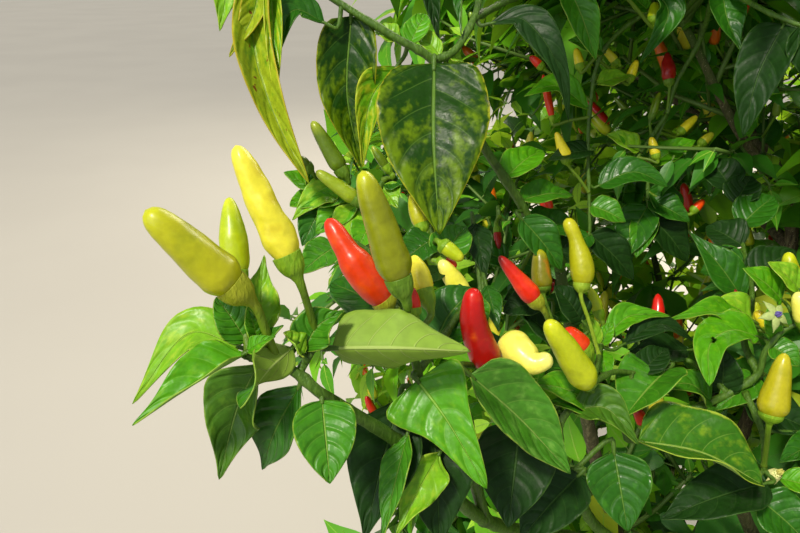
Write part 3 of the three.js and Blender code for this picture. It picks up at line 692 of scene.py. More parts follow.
class Blade(Enum):
    """What a near leaf's surface is like."""

    MOTTLED = LeafFinish(
        "leaf_mottled", "#193c03", "#627f08", 0.56, rim="#a9a824", rim_width=0.035, vein="#6f9438", aged=0.9,
        sheen=0.2,
    )
    YELLOWED = LeafFinish(
        "leaf_yellowed", "#93a620", "#4f861a", 0.56, rim="#a8981e", rim_width=0.08, under="#a8b23a", spots=0.4,
        aged=-1.1,
    )
    DARK = LeafFinish(
        "leaf_dark_glossy", "#275c10", "#3f7c16", 0.35, vein="#6b9038", rim="#5a822a", roughness=0.33
    )
    # DEEP is a deep green darkened further for leaves that stand in shadow: partly the leaf's own colour,
    # partly painted shade.
    DEEP = LeafFinish(
        "leaf_deep_green", "#19370f", "#294f15", 0.3, vein="#3f5f28", rim="#3f5f24", roughness=0.45, sheen=0.2
    )
    DAPPLED = LeafFinish(
        "leaf_dappled", "#34690e", "#76971a", 0.46, rim="#a3b53a", rim_width=0.05, vein="#a3bd58", aged=0.1
    )
    LIMY = LeafFinish("leaf_lime", "#5c9412", "#a9b324", 0.6, rim="#b5bb34", vein="#8fae4a", aged=0.8)
    OLIVE = LeafFinish("leaf_olive", "#3f6a14", "#5d8520", 0.4, vein="#8aa850", rim="#7d9a35", roughness=0.42)
    PALE_BACK = LeafFinish("leaf_turned_over", "#3c7a14", "#5b971a", 0.35, under="#7d9d31")
    MID = LeafFinish("leaf_mid_green", "#3c7a14", "#5b971a", 0.35, roughness=0.34)
    # HALF_LIT's pale grey-green patch colour stands for the sky's sheen on the leaf: painted sheen over its own
    # green.
    HALF_LIT = LeafFinish("leaf_half_lit", "#417c18", "#6a9c3a", 0.5, vein="#8fae52", roughness=0.4, sheen=0.45)
    BRIGHT = LeafFinish("leaf_bright_green", "#4b8f0d", "#77ac1a", 0.4, vein="#8fb646", veins=5)
    YOUNG = LeafFinish(
        "leaf_young", "#6fa41c", "#a0bd30", 0.5, vein="#9fbe4c", rim="#a9b846", veins=4, vein_share=0.4
    )


class Form(Enum):
    """The half-width of a blade along it, as shares."""

    HEART = (
        (0, 0.0), (0.008, 0.3), (0.03, 0.6), (0.06, 0.77), (0.12, 0.89), (0.2, 0.965), (0.3, 1.0),
        (0.4, 0.98), (0.5, 0.9), (0.6, 0.77), (0.7, 0.6), (0.8, 0.41), (0.88, 0.25), (0.94, 0.13),
        (0.975, 0.06), (1, 0.0),
    )
    DELTA = (
        (0, 0.0), (0.008, 0.36), (0.03, 0.72), (0.07, 0.93), (0.13, 1.0), (0.21, 0.97), (0.3, 0.88),
        (0.4, 0.75), (0.5, 0.61), (0.6, 0.48), (0.7, 0.37), (0.8, 0.27), (0.88, 0.19), (0.94, 0.12),
        (0.98, 0.05), (1, 0.0),
    )
    BROAD = (
        (0, 0.0), (0.015, 0.16), (0.05, 0.45), (0.1, 0.68), (0.17, 0.87), (0.26, 0.98), (0.35, 1.0),
        (0.45, 0.96), (0.55, 0.87), (0.65, 0.74), (0.74, 0.59), (0.82, 0.43), (0.885, 0.28), (0.93, 0.17),
        (0.97, 0.08), (1, 0.0),
    )
    LANCE = (
        (0, 0.0), (0.02, 0.08), (0.07, 0.28), (0.13, 0.53), (0.2, 0.77), (0.28, 0.94), (0.36, 1.0),
        (0.45, 0.97), (0.55, 0.85), (0.64, 0.68), (0.72, 0.5), (0.8, 0.33), (0.87, 0.2), (0.93, 0.11),
        (0.97, 0.06), (1, 0.0),
    )
    OVAL = (
        (0, 0.0), (0.008, 0.26), (0.03, 0.52), (0.06, 0.68), (0.12, 0.84), (0.2, 0.94), (0.3, 1.0),
        (0.42, 1.0), (0.54, 0.96), (0.66, 0.87), (0.76, 0.75), (0.84, 0.6), (0.9, 0.45), (0.95, 0.27),
        (0.98, 0.13), (1, 0.0),
    )
    ROUND = (
        (0, 0.0), (0.015, 0.18), (0.05, 0.42), (0.1, 0.63), (0.18, 0.84), (0.28, 0.97), (0.38, 1.0),
        (0.5, 0.97), (0.6, 0.9), (0.7, 0.77), (0.79, 0.62), (0.86, 0.46), (0.92, 0.31), (0.96, 0.19),
        (0.985, 0.09), (1, 0.0),
    )


class Pod(Enum):
    """The radius of a chilli along it, from its calyx, as shares."""

    BULLET = (
        (0, 0.64), (0.03, 0.76), (0.07, 0.88), (0.12, 0.96), (0.19, 1.0), (0.3, 0.99), (0.45, 0.94),
        (0.58, 0.87), (0.7, 0.79), (0.8, 0.7), (0.88, 0.59), (0.94, 0.44), (0.975, 0.28), (0.993, 0.13),
        (1, 0.0),
    )
    STOUT = (
        (0, 0.68), (0.03, 0.77), (0.065, 0.87), (0.11, 0.95), (0.17, 1.0), (0.24, 0.97), (0.32, 0.93),
        (0.42, 0.9), (0.52, 0.86), (0.62, 0.8), (0.72, 0.73), (0.81, 0.66), (0.89, 0.57), (0.94, 0.46),
        (0.975, 0.31), (0.993, 0.15), (1, 0.0),
    )
    LONG = (
        (0, 0.52), (0.025, 0.64), (0.06, 0.79), (0.11, 0.92), (0.17, 1.0), (0.24, 0.97), (0.32, 0.93),
        (0.42, 0.9), (0.52, 0.86), (0.62, 0.8), (0.72, 0.73), (0.81, 0.66), (0.89, 0.57), (0.94, 0.46),
        (0.975, 0.31), (0.993, 0.15), (1, 0.0),
    )
    SHOULDERED = (
        (0, 0.6), (0.04, 0.7), (0.1, 0.85), (0.18, 0.95), (0.28, 1.0), (0.4, 1.0), (0.49, 0.98), (0.55, 0.9),
        (0.6, 0.77), (0.65, 0.7), (0.73, 0.66), (0.82, 0.61), (0.89, 0.54), (0.945, 0.43), (0.98, 0.27),
        (1, 0.0),
    )
    BENT = (
        (0, 0.6), (0.05, 0.8), (0.1, 0.93), (0.18, 1.0), (0.3, 1.0), (0.42, 0.95), (0.53, 0.84), (0.63, 0.69),
        (0.73, 0.58), (0.82, 0.53), (0.9, 0.47), (0.95, 0.37), (0.98, 0.24), (1, 0.0),
    )
    ROUND = (
        (0, 0.5), (0.1, 0.78), (0.25, 0.95), (0.45, 1.0), (0.65, 0.93), (0.8, 0.76), (0.9, 0.55), (0.97, 0.3),
        (1, 0.0),
    )
    POINTED = (
        (0, 0.6), (0.05, 0.74), (0.12, 0.88), (0.22, 0.97), (0.36, 1.0), (0.5, 0.96), (0.62, 0.87),
        (0.73, 0.74), (0.82, 0.61), (0.89, 0.48), (0.94, 0.36), (0.975, 0.24), (0.993, 0.12), (1, 0.0),
    )
    WAISTED = (
        (0, 0.38), (0.02, 0.52), (0.05, 0.7), (0.1, 0.87), (0.16, 0.97), (0.23, 1.0), (0.34, 0.97),
        (0.44, 0.88), (0.53, 0.77), (0.61, 0.67), (0.69, 0.6), (0.78, 0.59), (0.86, 0.59), (0.92, 0.53),
        (0.96, 0.42), (0.985, 0.27), (1, 0.0),
    )
    TAPERED = (
        (0, 0.45), (0.02, 0.6), (0.05, 0.77), (0.09, 0.89), (0.14, 0.97), (0.2, 1.0), (0.31, 0.95),
        (0.45, 0.84), (0.58, 0.74), (0.7, 0.65), (0.8, 0.57), (0.88, 0.46), (0.94, 0.35), (0.975, 0.23),
        (0.993, 0.11), (1, 0.0),
    )


def skin_grid(columns: int, rows: int, place: Place, uv_map: str, closed: bool) -> bmesh.types.BMesh:
    """Lays a grid over a surface.

    Args:
        columns: Faces across or round.
        rows: Faces along.
        place: Gives the point for shares across and along.
        uv_map: The name of the map that keeps those shares.
        closed: Whether the sides meet in a seam and the ends are closed.

    Returns:
        The mesh.
    """
    mesh = bmesh.new()
    layer = mesh.loops.layers.uv.new(uv_map)
    bmesh.ops.create_grid(mesh, x_segments=columns, y_segments=rows, size=0.5)
    for face in mesh.faces:
        for loop in face.loops:
            loop[layer].uv = (loop.vert.co.x + 0.5, loop.vert.co.y + 0.5)
    for vert in mesh.verts:
        vert.co = place(vert.co.x + 0.5, vert.co.y + 0.5)
    if closed:
        bmesh.ops.remove_doubles(mesh, verts=mesh.verts, dist=1e-7)
        bmesh.ops.holes_fill(mesh, edges=mesh.edges, sides=0)
        bmesh.ops.recalc_face_normals(mesh, faces=mesh.faces)
    return mesh


def tube(
    line: Line, radius: Callable[[float, float], float], sides: int, rows: int, level: bool = False
) -> bmesh.types.BMesh:
    """Makes a closed tube along a line.

    Args:
        line: What it follows.
        radius: Gives the radius for shares round and along.
        sides: Faces round.
        rows: Faces along.
        level: Whether its sections lie flat.

    Returns:
        The mesh.
    """
    frames = line.frames(rows, level)

    def place(around: float, along: float) -> Vector:
        """Finds the point of the tube's skin at shares round and along."""
        centre, across, beside = frames[round(along * rows)]
        angle = 2 * math.pi * (around % 1.0)
        return centre + (across * math.cos(angle) + beside * math.sin(angle)) * radius(around % 1.0, along)

    return skin_grid(sides, rows, place, "skin", True)


def join(meshes: Sequence[bmesh.types.BMesh], slots: Sequence[int] | None = None) -> bmesh.types.BMesh:
    """Puts meshes together as one.

    Args:
        meshes: What is put together.
        slots: The material number of each.

    Returns:
        The one mesh.
    """
    whole = bmesh.new()
    for number, mesh in enumerate(meshes):
        if slots:
            for face in mesh.faces:
                face.material_index = slots[number]
        scrap = bpy.data.meshes.new("scrap")
        mesh.to_mesh(scrap)
        whole.from_mesh(scrap)
        bpy.data.meshes.remove(scrap)
        mesh.free()
    return whole


def add_piece(
    name: str, mesh: bpy.types.Mesh, materials: Sequence[bpy.types.Material], nodes: Sequence[str]
) -> bpy.types.Object:
    """Puts a finished mesh in the scene as a piece of the bush.

    Args:
        name: The piece's name.
        mesh: Its mesh, in place.
        materials: Its finishes.
        nodes: The solids that it stands for.

    Returns:
        The object.
    """
    for material in materials:
        mesh.materials.append(material)
    mesh.shade_smooth()
    piece = bpy.data.objects.new(name, mesh)
    bpy.context.scene.collection.objects.link(piece)
    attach(piece, "root")
    if nodes:
        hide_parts(*nodes)
    return piece


def finished(whole: bmesh.types.BMesh, name: str) -> bpy.types.Mesh:
    """Turns a worked mesh into one that can be shown.

    Args:
        whole: The worked mesh, which is freed.
        name: The new mesh's name.

    Returns:
        The new mesh.
    """
    mesh = bpy.data.meshes.new(name)
    whole.to_mesh(mesh)
    whole.free()
    return mesh


def on_nearest(twigs: Sequence[Line], place: Vector) -> Vector:
    """Finds the point of some twigs that lies nearest to a place."""
    return min((twig.at(twig.nearest(place)) for twig in twigs), key=lambda hold: (hold - place).length)


@dataclass(frozen=True)
class Limb:
    """A trunk or bough: its parent, where it leaves it, its end radii in mm and the points it goes through."""

    name: str
    parent: str
    along: float
    foot: float
    tip: float
    points: tuple

    @property
    def green(self) -> bool:
        """Whether it is a young green stem."""
        return self.tip <= 2


def spot(point: tuple) -> Vector:
    """Reads a limb's point: plain mm, or a pixel of the photograph's view that is marked by a fourth value."""
    return VIEW.seen(point[:3]) if len(point) == 4 else Vector(point) * MM


def px(column: float, row: float, depth: float) -> tuple[float, float, float, str]:
    """Marks a point as a pixel of the view and a depth in mm."""
    return column, row, depth, "px"


TRUNK_POINTS = ((0, 0, 0), (-4, 2, 60), (1, 5, 125), (7, 8, 190))

LIMBS = (
    Limb("bough_front_left", "trunk", 0.9, 7.2, 2.3,
         ((-45, -58, 275), (-98, -138, 430), (-150, -196, 575), px(560, 270, 300))),
    Limb("bough_back", "trunk", 0.96, 7, 2.6, ((10, 70, 300), (30, 130, 430), (10, 205, 560))),
    Limb("bough_right", "trunk", 0.84, 7, 2.6, ((70, 0, 270), (140, -15, 400), (215, -15, 540))),
    Limb("bough_front", "trunk", 0.76, 6.6, 2.4,
         ((18, -80, 270), (-5, -160, 420), (-65, -205, 530), px(700, 420, 330))),
    Limb("bough_middle", "trunk", 0.99, 6.6, 2.6,
         ((22, -10, 330), (28, -35, 500), (17, -40, 654), (-22, -5, 715), (-50, 20, 757))),
    Limb("bough_left", "bough_front_left", 0.3, 5.2, 2.4, ((-105, -50, 420), (-170, -30, 540))),
    Limb("bough_picked", "bough_front_left", 0.44, 3.6, 1.7,
         ((-150, -215, 520), px(485, 520, 275), px(410, 450, 215), px(335, 402, 186))),
    Limb("bough_middle_front", "bough_picked", 0.5, 2.4, 1.8, (px(470, 470, 255), px(438, 425, 228))),
    Limb("bough_cluster", "bough_front", 0.6, 3.4, 1.9,
         ((-95, -245, 520), px(600, 530, 305), px(572, 478, 276))),
    Limb("bough_back_left", "bough_back", 0.4, 5, 2.4, ((-60, 120, 430), (-135, 165, 520))),
    Limb("bough_back_right", "bough_right", 0.35, 5, 2.4, ((125, 80, 430), (175, 145, 530))),
    Limb("bough_front_right", "bough_front", 0.3, 5, 2.4, ((85, -150, 400), (140, -205, 510))),
    Limb("bough_high_right", "bough_middle", 0.38, 4.6, 2.3, ((85, -5, 590), (130, 30, 680))),
    Limb("bough_high_back", "bough_middle", 0.55, 4.2, 2.3, ((20, 60, 640), (5, 110, 710))),
    Limb("bough_high_front", "bough_middle", 0.46, 4.2, 2.3, ((75, -95, 600), (100, -150, 690))),
    Limb("bough_high_left", "bough_middle", 0.62, 3.8, 2.2, ((-30, -55, 700), (-82, -68, 768))),
    Limb("bough_high_back_left", "bough_middle", 0.66, 3.6, 2.2, ((-35, 45, 705), (-85, 90, 735))),
    Limb("bough_inner", "bough_middle", 0.2, 3.8, 2.2, ((65, -40, 440), (88, -62, 490))),
    Limb("bough_low_back_left", "trunk", 0.72, 4.6, 2.4, ((-28, 75, 235), (-58, 142, 312))),
    Limb("bough_low_front_left", "trunk", 0.54, 5, 2.4, ((-48, -52, 200), (-98, -118, 295))),
    Limb("bough_low_left", "trunk", 0.62, 5, 2.4, ((-65, 20, 210), (-130, 40, 300))),
    Limb("bough_low_back", "trunk", 0.7, 5, 2.4, ((25, 75, 220), (60, 140, 310))),
    Limb("bough_low_right", "trunk", 0.58, 5, 2.4, ((85, -10, 210), (160, -25, 300))),
    Limb("bough_low_front", "trunk", 0.66, 5, 2.4, ((10, -85, 210), (15, -155, 290))),
)


@dataclass
class Skeleton:
    """The trunk and boughs, as lines and as relief bark and green skin."""

    trunk_radius: float = 12.5
    trunk_top_radius: float = 10.5
    flare_radius: float = 24
    flare_height: float = 42
    trunk_sides: int = 40
    limb_sides: int = 14
    row_mm: float = 4
    node_mm: float = 34
    node_swell: float = 0.12
    collar: float = 0.4
    bark_relief: float = 0.085
    green_relief: float = 0.03
    buttresses: int = 4
    buttress_swell: float = 0.16
    lines: dict[str, Line] = field(default_factory=dict)
    radii: dict[str, tuple[float, float]] = field(default_factory=dict)

    def lay(self) -> None:
        """Lays the lines of the trunk and of every bough."""
        self.lines["trunk"] = Line([Vector(p) * MM for p in TRUNK_POINTS])
        self.radii["trunk"] = (self.trunk_radius, self.trunk_top_radius)
        for limb in LIMBS:
            start = self.lines[limb.parent].at(limb.along)
            self.lines[limb.name] = Line([start, *map(spot, limb.points)])
            self.radii[limb.name] = (limb.foot, limb.tip)

    def bark_radius(self, name: str, seed: int) -> Callable[[float, float], float]:
        """Gives a limb's radius with its relief: lengthwise splits, swollen nodes, a collar at the foot.

        Args:
            name: The limb.
            seed: Tells its relief from the other limbs'.

        Returns:
            The radius in metres for shares round and along.
        """
        foot, tip = self.radii[name]
        long_mm = self.lines[name].length() / MM
        green = name != "trunk" and next(limb for limb in LIMBS if limb.name == name).green
        depth = self.green_relief if green else self.bark_relief

        def radius(around: float, along: float) -> float:
            """Gives the radius at one place.

            Args:
                around: The share round the limb.
                along: The share along it.

            Returns:
                The radius in metres.
            """
            angle = 2 * math.pi * around
            height = along * long_mm
            base = lerp(foot, tip, along)
            if name == "trunk":
                base = self.trunk_swell(angle, height)
            else:
                base *= 1 + self.collar * math.exp(-height / (1.1 * foot))
            node = abs((height + seed * 7) % self.node_mm - self.node_mm / 2)
            base *= 1 + self.node_swell * math.exp(-((node / 2.2) ** 2))
            turn = Vector((math.cos(angle), math.sin(angle), 0)) * (1.2 + 0.06 * base)
            split = noise.fractal(turn * 1.6 + Vector((seed * 3.1, 0, height / 22)), 0.9, 2.0, 3)
            knobbly = noise.noise(turn * 0.8 + Vector((0, seed * 1.7, height / 9)))
            return MM * base * (1 + depth * split + 0.5 * depth * knobbly)

        return radius

    def trunk_swell(self, angle: float, height: float) -> float:
        """Gives the trunk's radius, which flares over its roots.

        Args:
            angle: Where round the trunk.
            height: How far above the ground, in mm.

        Returns:
            The radius in mm.
        """
        top = TRUNK_POINTS[-1][2]
        shaft = lerp(self.trunk_radius, self.trunk_top_radius, max(0, height - self.flare_height) / top)
        spread = max(0, 1 - height / self.flare_height) ** 2
        buttress = 1 + self.buttress_swell * math.cos(self.buttresses * angle + 0.6) * spread
        return (shaft + (self.flare_radius - self.trunk_radius) * spread * 0.88) * buttress

    def dress(self) -> None:
        """Makes the bark and the green skin, each as one joined mesh."""
        woody, green = [], []
        woody_names, green_names = ["trunk"], []
        rows = round(self.lines["trunk"].length() / MM / self.row_mm)
        woody.append(tube(self.lines["trunk"], self.bark_radius("trunk", 1), self.trunk_sides, rows, True))
        for number, limb in enumerate(LIMBS):
            line = self.lines[limb.name]
            rows = round(line.length() / MM / self.row_mm)
            skin = tube(line, self.bark_radius(limb.name, number + 2), self.limb_sides, rows)
            (green if limb.green else woody).append(skin)
            (green_names if limb.green else woody_names).append(limb.name)
        barks = [BarkFinish().skin(), BarkFinish("thin_bark", young_from=0.8).skin()]
        wood = finished(join(woody, [0] + [1] * (len(woody) - 1)), "trunk_and_boughs")
        add_piece("trunk_and_boughs", wood, barks, woody_names)
        stems = finished(join(green), "green_boughs")
        add_piece("green_boughs", stems, [StemFinish().skin()], green_names)
        LOG.info("trunk and boughs: %d woody limbs, %d green", len(woody_names), len(green_names))

    def stem_start(self, bough: str) -> list[Vector]:
        """Gives the first two points of the stem that goes on from a bough's tip."""
        line = self.lines[bough]
        return [line.at(1) + line.heading(1) * reach * MM for reach in (0.3, 8)]


@dataclass(frozen=True)
class Leaf:
    """One near leaf.

    Its foot, tip and an optional middle point are pixels with a depth, its width is in mm, and its angles are
    in degrees: roll turns it on its midrib, twist turns it more and more along it, and the folds lift its two
    halves.
    """

    foot: Pixel
    tip: Pixel
    width: float
    blade: Blade
    form: Form = Form.LANCE
    via: tuple[Pixel, ...] = ()
    roll: float = 0
    twist: float = 0
    folds: tuple[float, float] = (14, 14)
    wave: float = 0.1
    arch: float = 0.06
    hole: Pixel | None = None

    columns: int = 14
    rows: int = 30
    waves: float = 13
    quilt: float = 0.019
    cup: float = 8
    hole_faces: int = 3
    thickness: float = 0.35

    def midrib(self) -> Line:
        """Lays the leaf's middle line, arched towards its upper side where no middle point is given.

        Returns:
            The line, from the blade's foot to its tip.
        """
        foot, tip = VIEW.seen(self.foot), VIEW.seen(self.tip)
        if self.via:
            return Line([foot, *map(VIEW.seen, self.via), tip])
        lift = self.upper(foot, (tip - foot).normalized()) * self.arch * (tip - foot).length
        return Line([foot, foot.lerp(tip, 0.5) + lift, tip])

    def upper(self, place: Vector, along: Vector) -> Vector:
        """Gives the way that the upper side faces before it is rolled: up and towards the eye."""
        towards = UP + (VIEW.place - place).normalized()
        return (towards - along * towards.dot(along)).normalized()

    def mesh(self, seed: int) -> bmesh.types.BMesh:
        """Makes the blade.

        Args:
            seed: Sets where its waves fall.

        Returns:
            The mesh, its upper side outwards.
        """
        line = self.midrib()
        half = self.width / 2 * MM
        phase = seed * 1.9

        def place(u: float, v: float) -> Vector:
            """Finds a point of the blade.

            Args:
                u: The share across it.
                v: The share along it.

            Returns:
                The point.
            """
            along = line.heading(v)
            centre = line.at(v)
            above = self.upper(centre, along)
            above.rotate(Matrix.Rotation(math.radians(self.roll + self.twist * v), 3, along))
            across = along.cross(above)
            a = 2 * u - 1
            fold = math.radians(self.folds[0] if a < 0 else self.folds[1])
            wide = half * read_table(self.form.value, v)
            ripple = self.wave * wide * abs(a) ** 2.2 * math.sin(self.waves * v + phase + (1.7 if a > 0 else 0))
            vein_row = (v - VEIN_LEAN * abs(a) ** VEIN_CURVE) * self.blade.value.veins
            vein_row += VEIN_STAGGER if a > 0 else 0
            quilt = self.quilt * wide * (1 - math.cos(2 * math.pi * vein_row)) * abs(a) * (1 - abs(a)) * 2
            cup = math.radians(self.cup) * abs(a)
            reach = abs(a) * wide
            return (
                centre
                + across * math.copysign(1, a) * reach * math.cos(fold + cup)
                + above * (reach * math.sin(fold + cup) + ripple + quilt)
            )

        sheet = skin_grid(self.columns, self.rows, place, "blade", False)
        bmesh.ops.remove_doubles(sheet, verts=sheet.verts, dist=2e-6)
        sheet.normal_update()
        middle = line.at(0.5)
        along = line.heading(0.5)
        above = self.upper(middle, along)
        above.rotate(Matrix.Rotation(math.radians(self.roll + self.twist / 2), 3, along))
        if sum(face.normal.dot(above) for face in sheet.faces) < 0:
            bmesh.ops.reverse_faces(sheet, faces=sheet.faces)
        if self.hole:
            gap = VIEW.seen(self.hole)
            near = sorted(sheet.faces, key=lambda face: self.off_sight(face.calc_center_median(), gap))
            bmesh.ops.delete(sheet, geom=near[: self.hole_faces], context="FACES")
        return sheet

    @staticmethod
    def off_sight(point: Vector, gap: Vector) -> float:
        """Measures how far a point lies from another in the picture."""
        a, b = VIEW.sight(point), VIEW.sight(gap)
        return math.hypot(a[0] - b[0], a[1] - b[1])

    def add(self, name: str, node: str, seed: int) -> None:
        """Puts the leaf in the scene.

        Args:
            name: The piece's name.
            node: The solid that it stands for.
            seed: Sets its waves.
        """
        finish = self.blade.value
        mesh = finished(self.mesh(seed), name)
        piece = add_piece(name, mesh, [finish.upper(), finish.lower()], [node])
        shell = piece.modifiers.new("thickness", "SOLIDIFY")
        shell.thickness = self.thickness * MM
        shell.offset = -1
        shell.material_offset = 1
        shell.material_offset_rim = 0

    def stalk(self, twigs: Sequence[Line]) -> bmesh.types.BMesh:
        """Makes the petiole.

        Args:
            twigs: The lines that can carry it.

        Returns:
            The mesh, from the nearest twig to a little way under the blade.
        """
        line = self.midrib()
        foot = line.at(0)
        hold = on_nearest(twigs, foot)
        bend = foot - line.heading(0) * min(5 * MM, (foot - hold).length / 2)
        away = line.at(0.05) - self.upper(foot, line.heading(0)) * 0.0002
        thick = 0.55 + self.width * 0.014
        return tube(Line([hold, bend, foot, away]), lambda _, t: MM * lerp(thick * 1.25, thick * 0.7, t), 8, 12)


class Green(Enum):
    """The skin of a near chilli's calyx and stalk."""

    FRESH = StemFinish("calyx_and_stalk", "#638a0e", "#83a31f", "#4d7010", "#4a6410")
    TURNING = StemFinish("calyx_turning", "#7f8714", "#969a22", "#6c7616", "#53720f")
    LIGHT = StemFinish("calyx_light", "#7d9a20", "#98b032", "#5f8018")
    # SHADY is a darker copy of the calyx green for calyces that stand in shadow: painted shade.
    SHADY = StemFinish("calyx_shady", "#4b6c10", "#64831f", "#35510e")


@dataclass(frozen=True)
class Chilli:
    """One near chilli: root, calyx, tip and an optional middle point as pixels with a depth, radius in mm."""

    root: Pixel
    calyx: Pixel
    tip: Pixel
    radius: float
    ripeness: Ripeness
    pod: Pod = Pod.BULLET
    via: tuple[Pixel, ...] = ()
    bumps: float = 0.05
    green: Green = Green.FRESH
    stalk: float = 0.95
    cup: float = 5.5
    bow: float = 0.4

    sides: int = 28
    rows: int = 44
    calyx_sides: int = 20
    lobes: int = 5
    lap: float = 1.3
    proud: float = 0.25

    def add(self, name: str, node: str, twigs: Sequence[Line], seed: int) -> None:
        """Puts the chilli in the scene with its calyx and stalk.

        Args:
            name: The piece's name.
            node: The solid that it stands for.
            twigs: The lines that can carry it.
            seed: Sets where its bumps fall.
        """
        calyx, tip = VIEW.seen(self.calyx), VIEW.seen(self.tip)
        body = Line([calyx, *map(VIEW.seen, self.via), tip] if self.via else [calyx, calyx.lerp(tip, 0.5), tip])
        long_mm = body.length() / MM
        r = self.radius

        def skin(around: float, along: float) -> float:
            """Gives the pod's radius with its dents.

            Args:
                around: The share round it.
                along: The share along it.

            Returns:
                The radius in metres.
            """
            angle = 2 * math.pi * around
            turn = Vector((math.cos(angle), math.sin(angle), 0)) * 0.8
            dent = noise.noise(turn + Vector((seed * 2.3, 0, along * long_mm / 6)))
            fine = noise.noise(turn * 2.5 + Vector((0, seed, along * long_mm / 2.6)))
            relief = 1 + self.bumps * dent + 0.3 * self.bumps * fine
            return MM * r * read_table(self.pod.value, along) * relief

        pod = tube(body, skin, self.sides, self.rows)
        hold = on_nearest(twigs, VIEW.seen(self.root))
        heading = body.heading(0.02)
        neck = calyx - heading * (self.cup + 1) * MM
        rim = calyx + heading * self.lap * MM
        stalk = Line([hold, hold.lerp(neck, 0.55) + UP * self.bow * MM, neck, calyx, rim])
        spans = stalk.spans()
        last = spans[0][1]
        wide = r * read_table(self.pod.value, self.lap / long_mm) + self.proud
        funnel = (
            (0, wide), (self.lap, wide * 0.98), (self.lap + 0.3 * self.cup, wide * 0.92),
            (self.lap + 0.6 * self.cup, wide * 0.74), (self.lap + 0.85 * self.cup, wide * 0.46),
            (self.lap + 1.1 * self.cup, self.stalk * 1.2),
            (self.lap + 1.7 * self.cup, self.stalk), (last + 1, self.stalk),
        )

        def green(around: float, along: float) -> float:
            """Gives the calyx and stalk's radius: lobed at the rim, wider where it joins the twig.

            Args:
                around: The share round it.
                along: The share along it.

            Returns:
                The radius in metres.
            """
            from_rim = read_table(spans, along)
            lobe = math.cos(self.lobes * 2 * math.pi * around)
            rib = 1 + 0.04 * lobe * (from_rim < self.lap + self.cup)
            return MM * read_table(funnel, from_rim) * rib + MM * 0.5 * max(0, 1 - (last - from_rim) / 2)

        whole = join([pod, tube(stalk, green, self.calyx_sides, self.rows)], [0, 1])
        materials = [self.ripeness.value.skin(), self.green.value.skin()]
        add_piece(name, finished(whole, name), materials, [node])


@dataclass(frozen=True)
class Blossom:
    """A small open flower with pointed petals round a purple cone of anthers, or a faded one."""

    centre: Pixel
    root: Pixel
    towards: tuple[float, float, float] = (0.1, -0.8, 0.6)
    petals: int = 5
    reach: float = 7
    faded: bool = False

    petal_thickness: float = 0.25
    cone_height: float = 3.2
    anther_radius: float = 0.62

    def petal(self, centre: Vector, out: Vector, facing: Vector) -> bmesh.types.BMesh:
        """Makes one pointed petal.

        Args:
            centre: The flower's middle.
            out: The way that the petal points.
            facing: The way that the flower faces.

        Returns:
            The mesh.
        """
        beside = out.cross(facing)
        droop, spread = (0.75, 0.5) if self.faded else (0.32, 1)

        def place(u: float, v: float) -> Vector:
            """Finds a point of the petal.

            Args:
                u: The share across it.
                v: The share along it.

            Returns:
                The point.
            """
            a = 2 * u - 1
            wide = self.reach * 0.25 * (math.sin(math.pi * min(1, 0.12 + 0.9 * v)) ** 0.7 + 0.05)
            lift = self.reach * (0.25 * v * (1 - v) - droop * v * v + 0.06 * (1 - a * a))
            outward = out * self.reach * v * spread
            return centre + MM * (outward + beside * a * wide * (1 - v**6) + facing * lift)

        petal = skin_grid(6, 8, place, "skin", False)
        bmesh.ops.recalc_face_normals(petal, faces=petal.faces)
        geometry = petal.faces[:] + petal.edges[:] + petal.verts[:]
        bmesh.ops.solidify(petal, geom=geometry, thickness=self.petal_thickness * MM)
        return petal

    def add(self, name: str, node: str, twigs: Sequence[Line], seed: int) -> None:
        """Puts the flower in the scene with its stalk.

        Args:
            name: The piece's name.
            node: The solid that it stands for.
            twigs: The lines that can carry it.
            seed: Turns it on its stalk.
        """
        centre = VIEW.seen(self.centre)
        facing = Vector(self.towards).normalized()
        side = facing.cross(UP).normalized()
        other = side.cross(facing)
        parts, slots = [], []
        for number in range(self.petals):
            angle = 2 * math.pi * number / self.petals + seed
            out = side * math.cos(angle) + other * math.sin(angle)
            anther = Line([centre + out * 0.9 * MM, centre + facing * self.cone_height * MM + out * 0.7 * MM])
            parts.append(self.petal(centre, out, facing))
            parts.append(tube(anther, self.anther_width, 8, 6))
            slots += [0, 1]
        hold = on_nearest(twigs, VIEW.seen(self.root))
        back = centre - facing * 1.5 * MM
        stalk = Line([hold, hold.lerp(back, 0.6) - facing * 2 * MM, back, centre])
        parts.append(tube(stalk, lambda _, t: MM * (0.7 + 1.3 * max(0, t - 0.8) / 0.2), 10, 16))
        slots.append(2)
        if self.faded:
            petals, anthers = PetalFinish("petal_faded", "#dcdc92"), PetalFinish("anther_faded", "#c8c364")
        else:
            petals, anthers = PetalFinish("petal_cream", "#a6b76c"), PetalFinish("anther_purple", "#6d62a8")
        materials = [petals.made(), anthers.made(), Green.FRESH.value.skin()]
        add_piece(name, finished(join(parts, slots), name), materials, [node])

    def anther_width(self, _: float, along: float) -> float:
        """Gives an anther's radius in metres, full in the middle and small at its ends."""
        return MM * self.anther_radius * math.sin(math.pi * min(0.95, 0.15 + 0.8 * along))


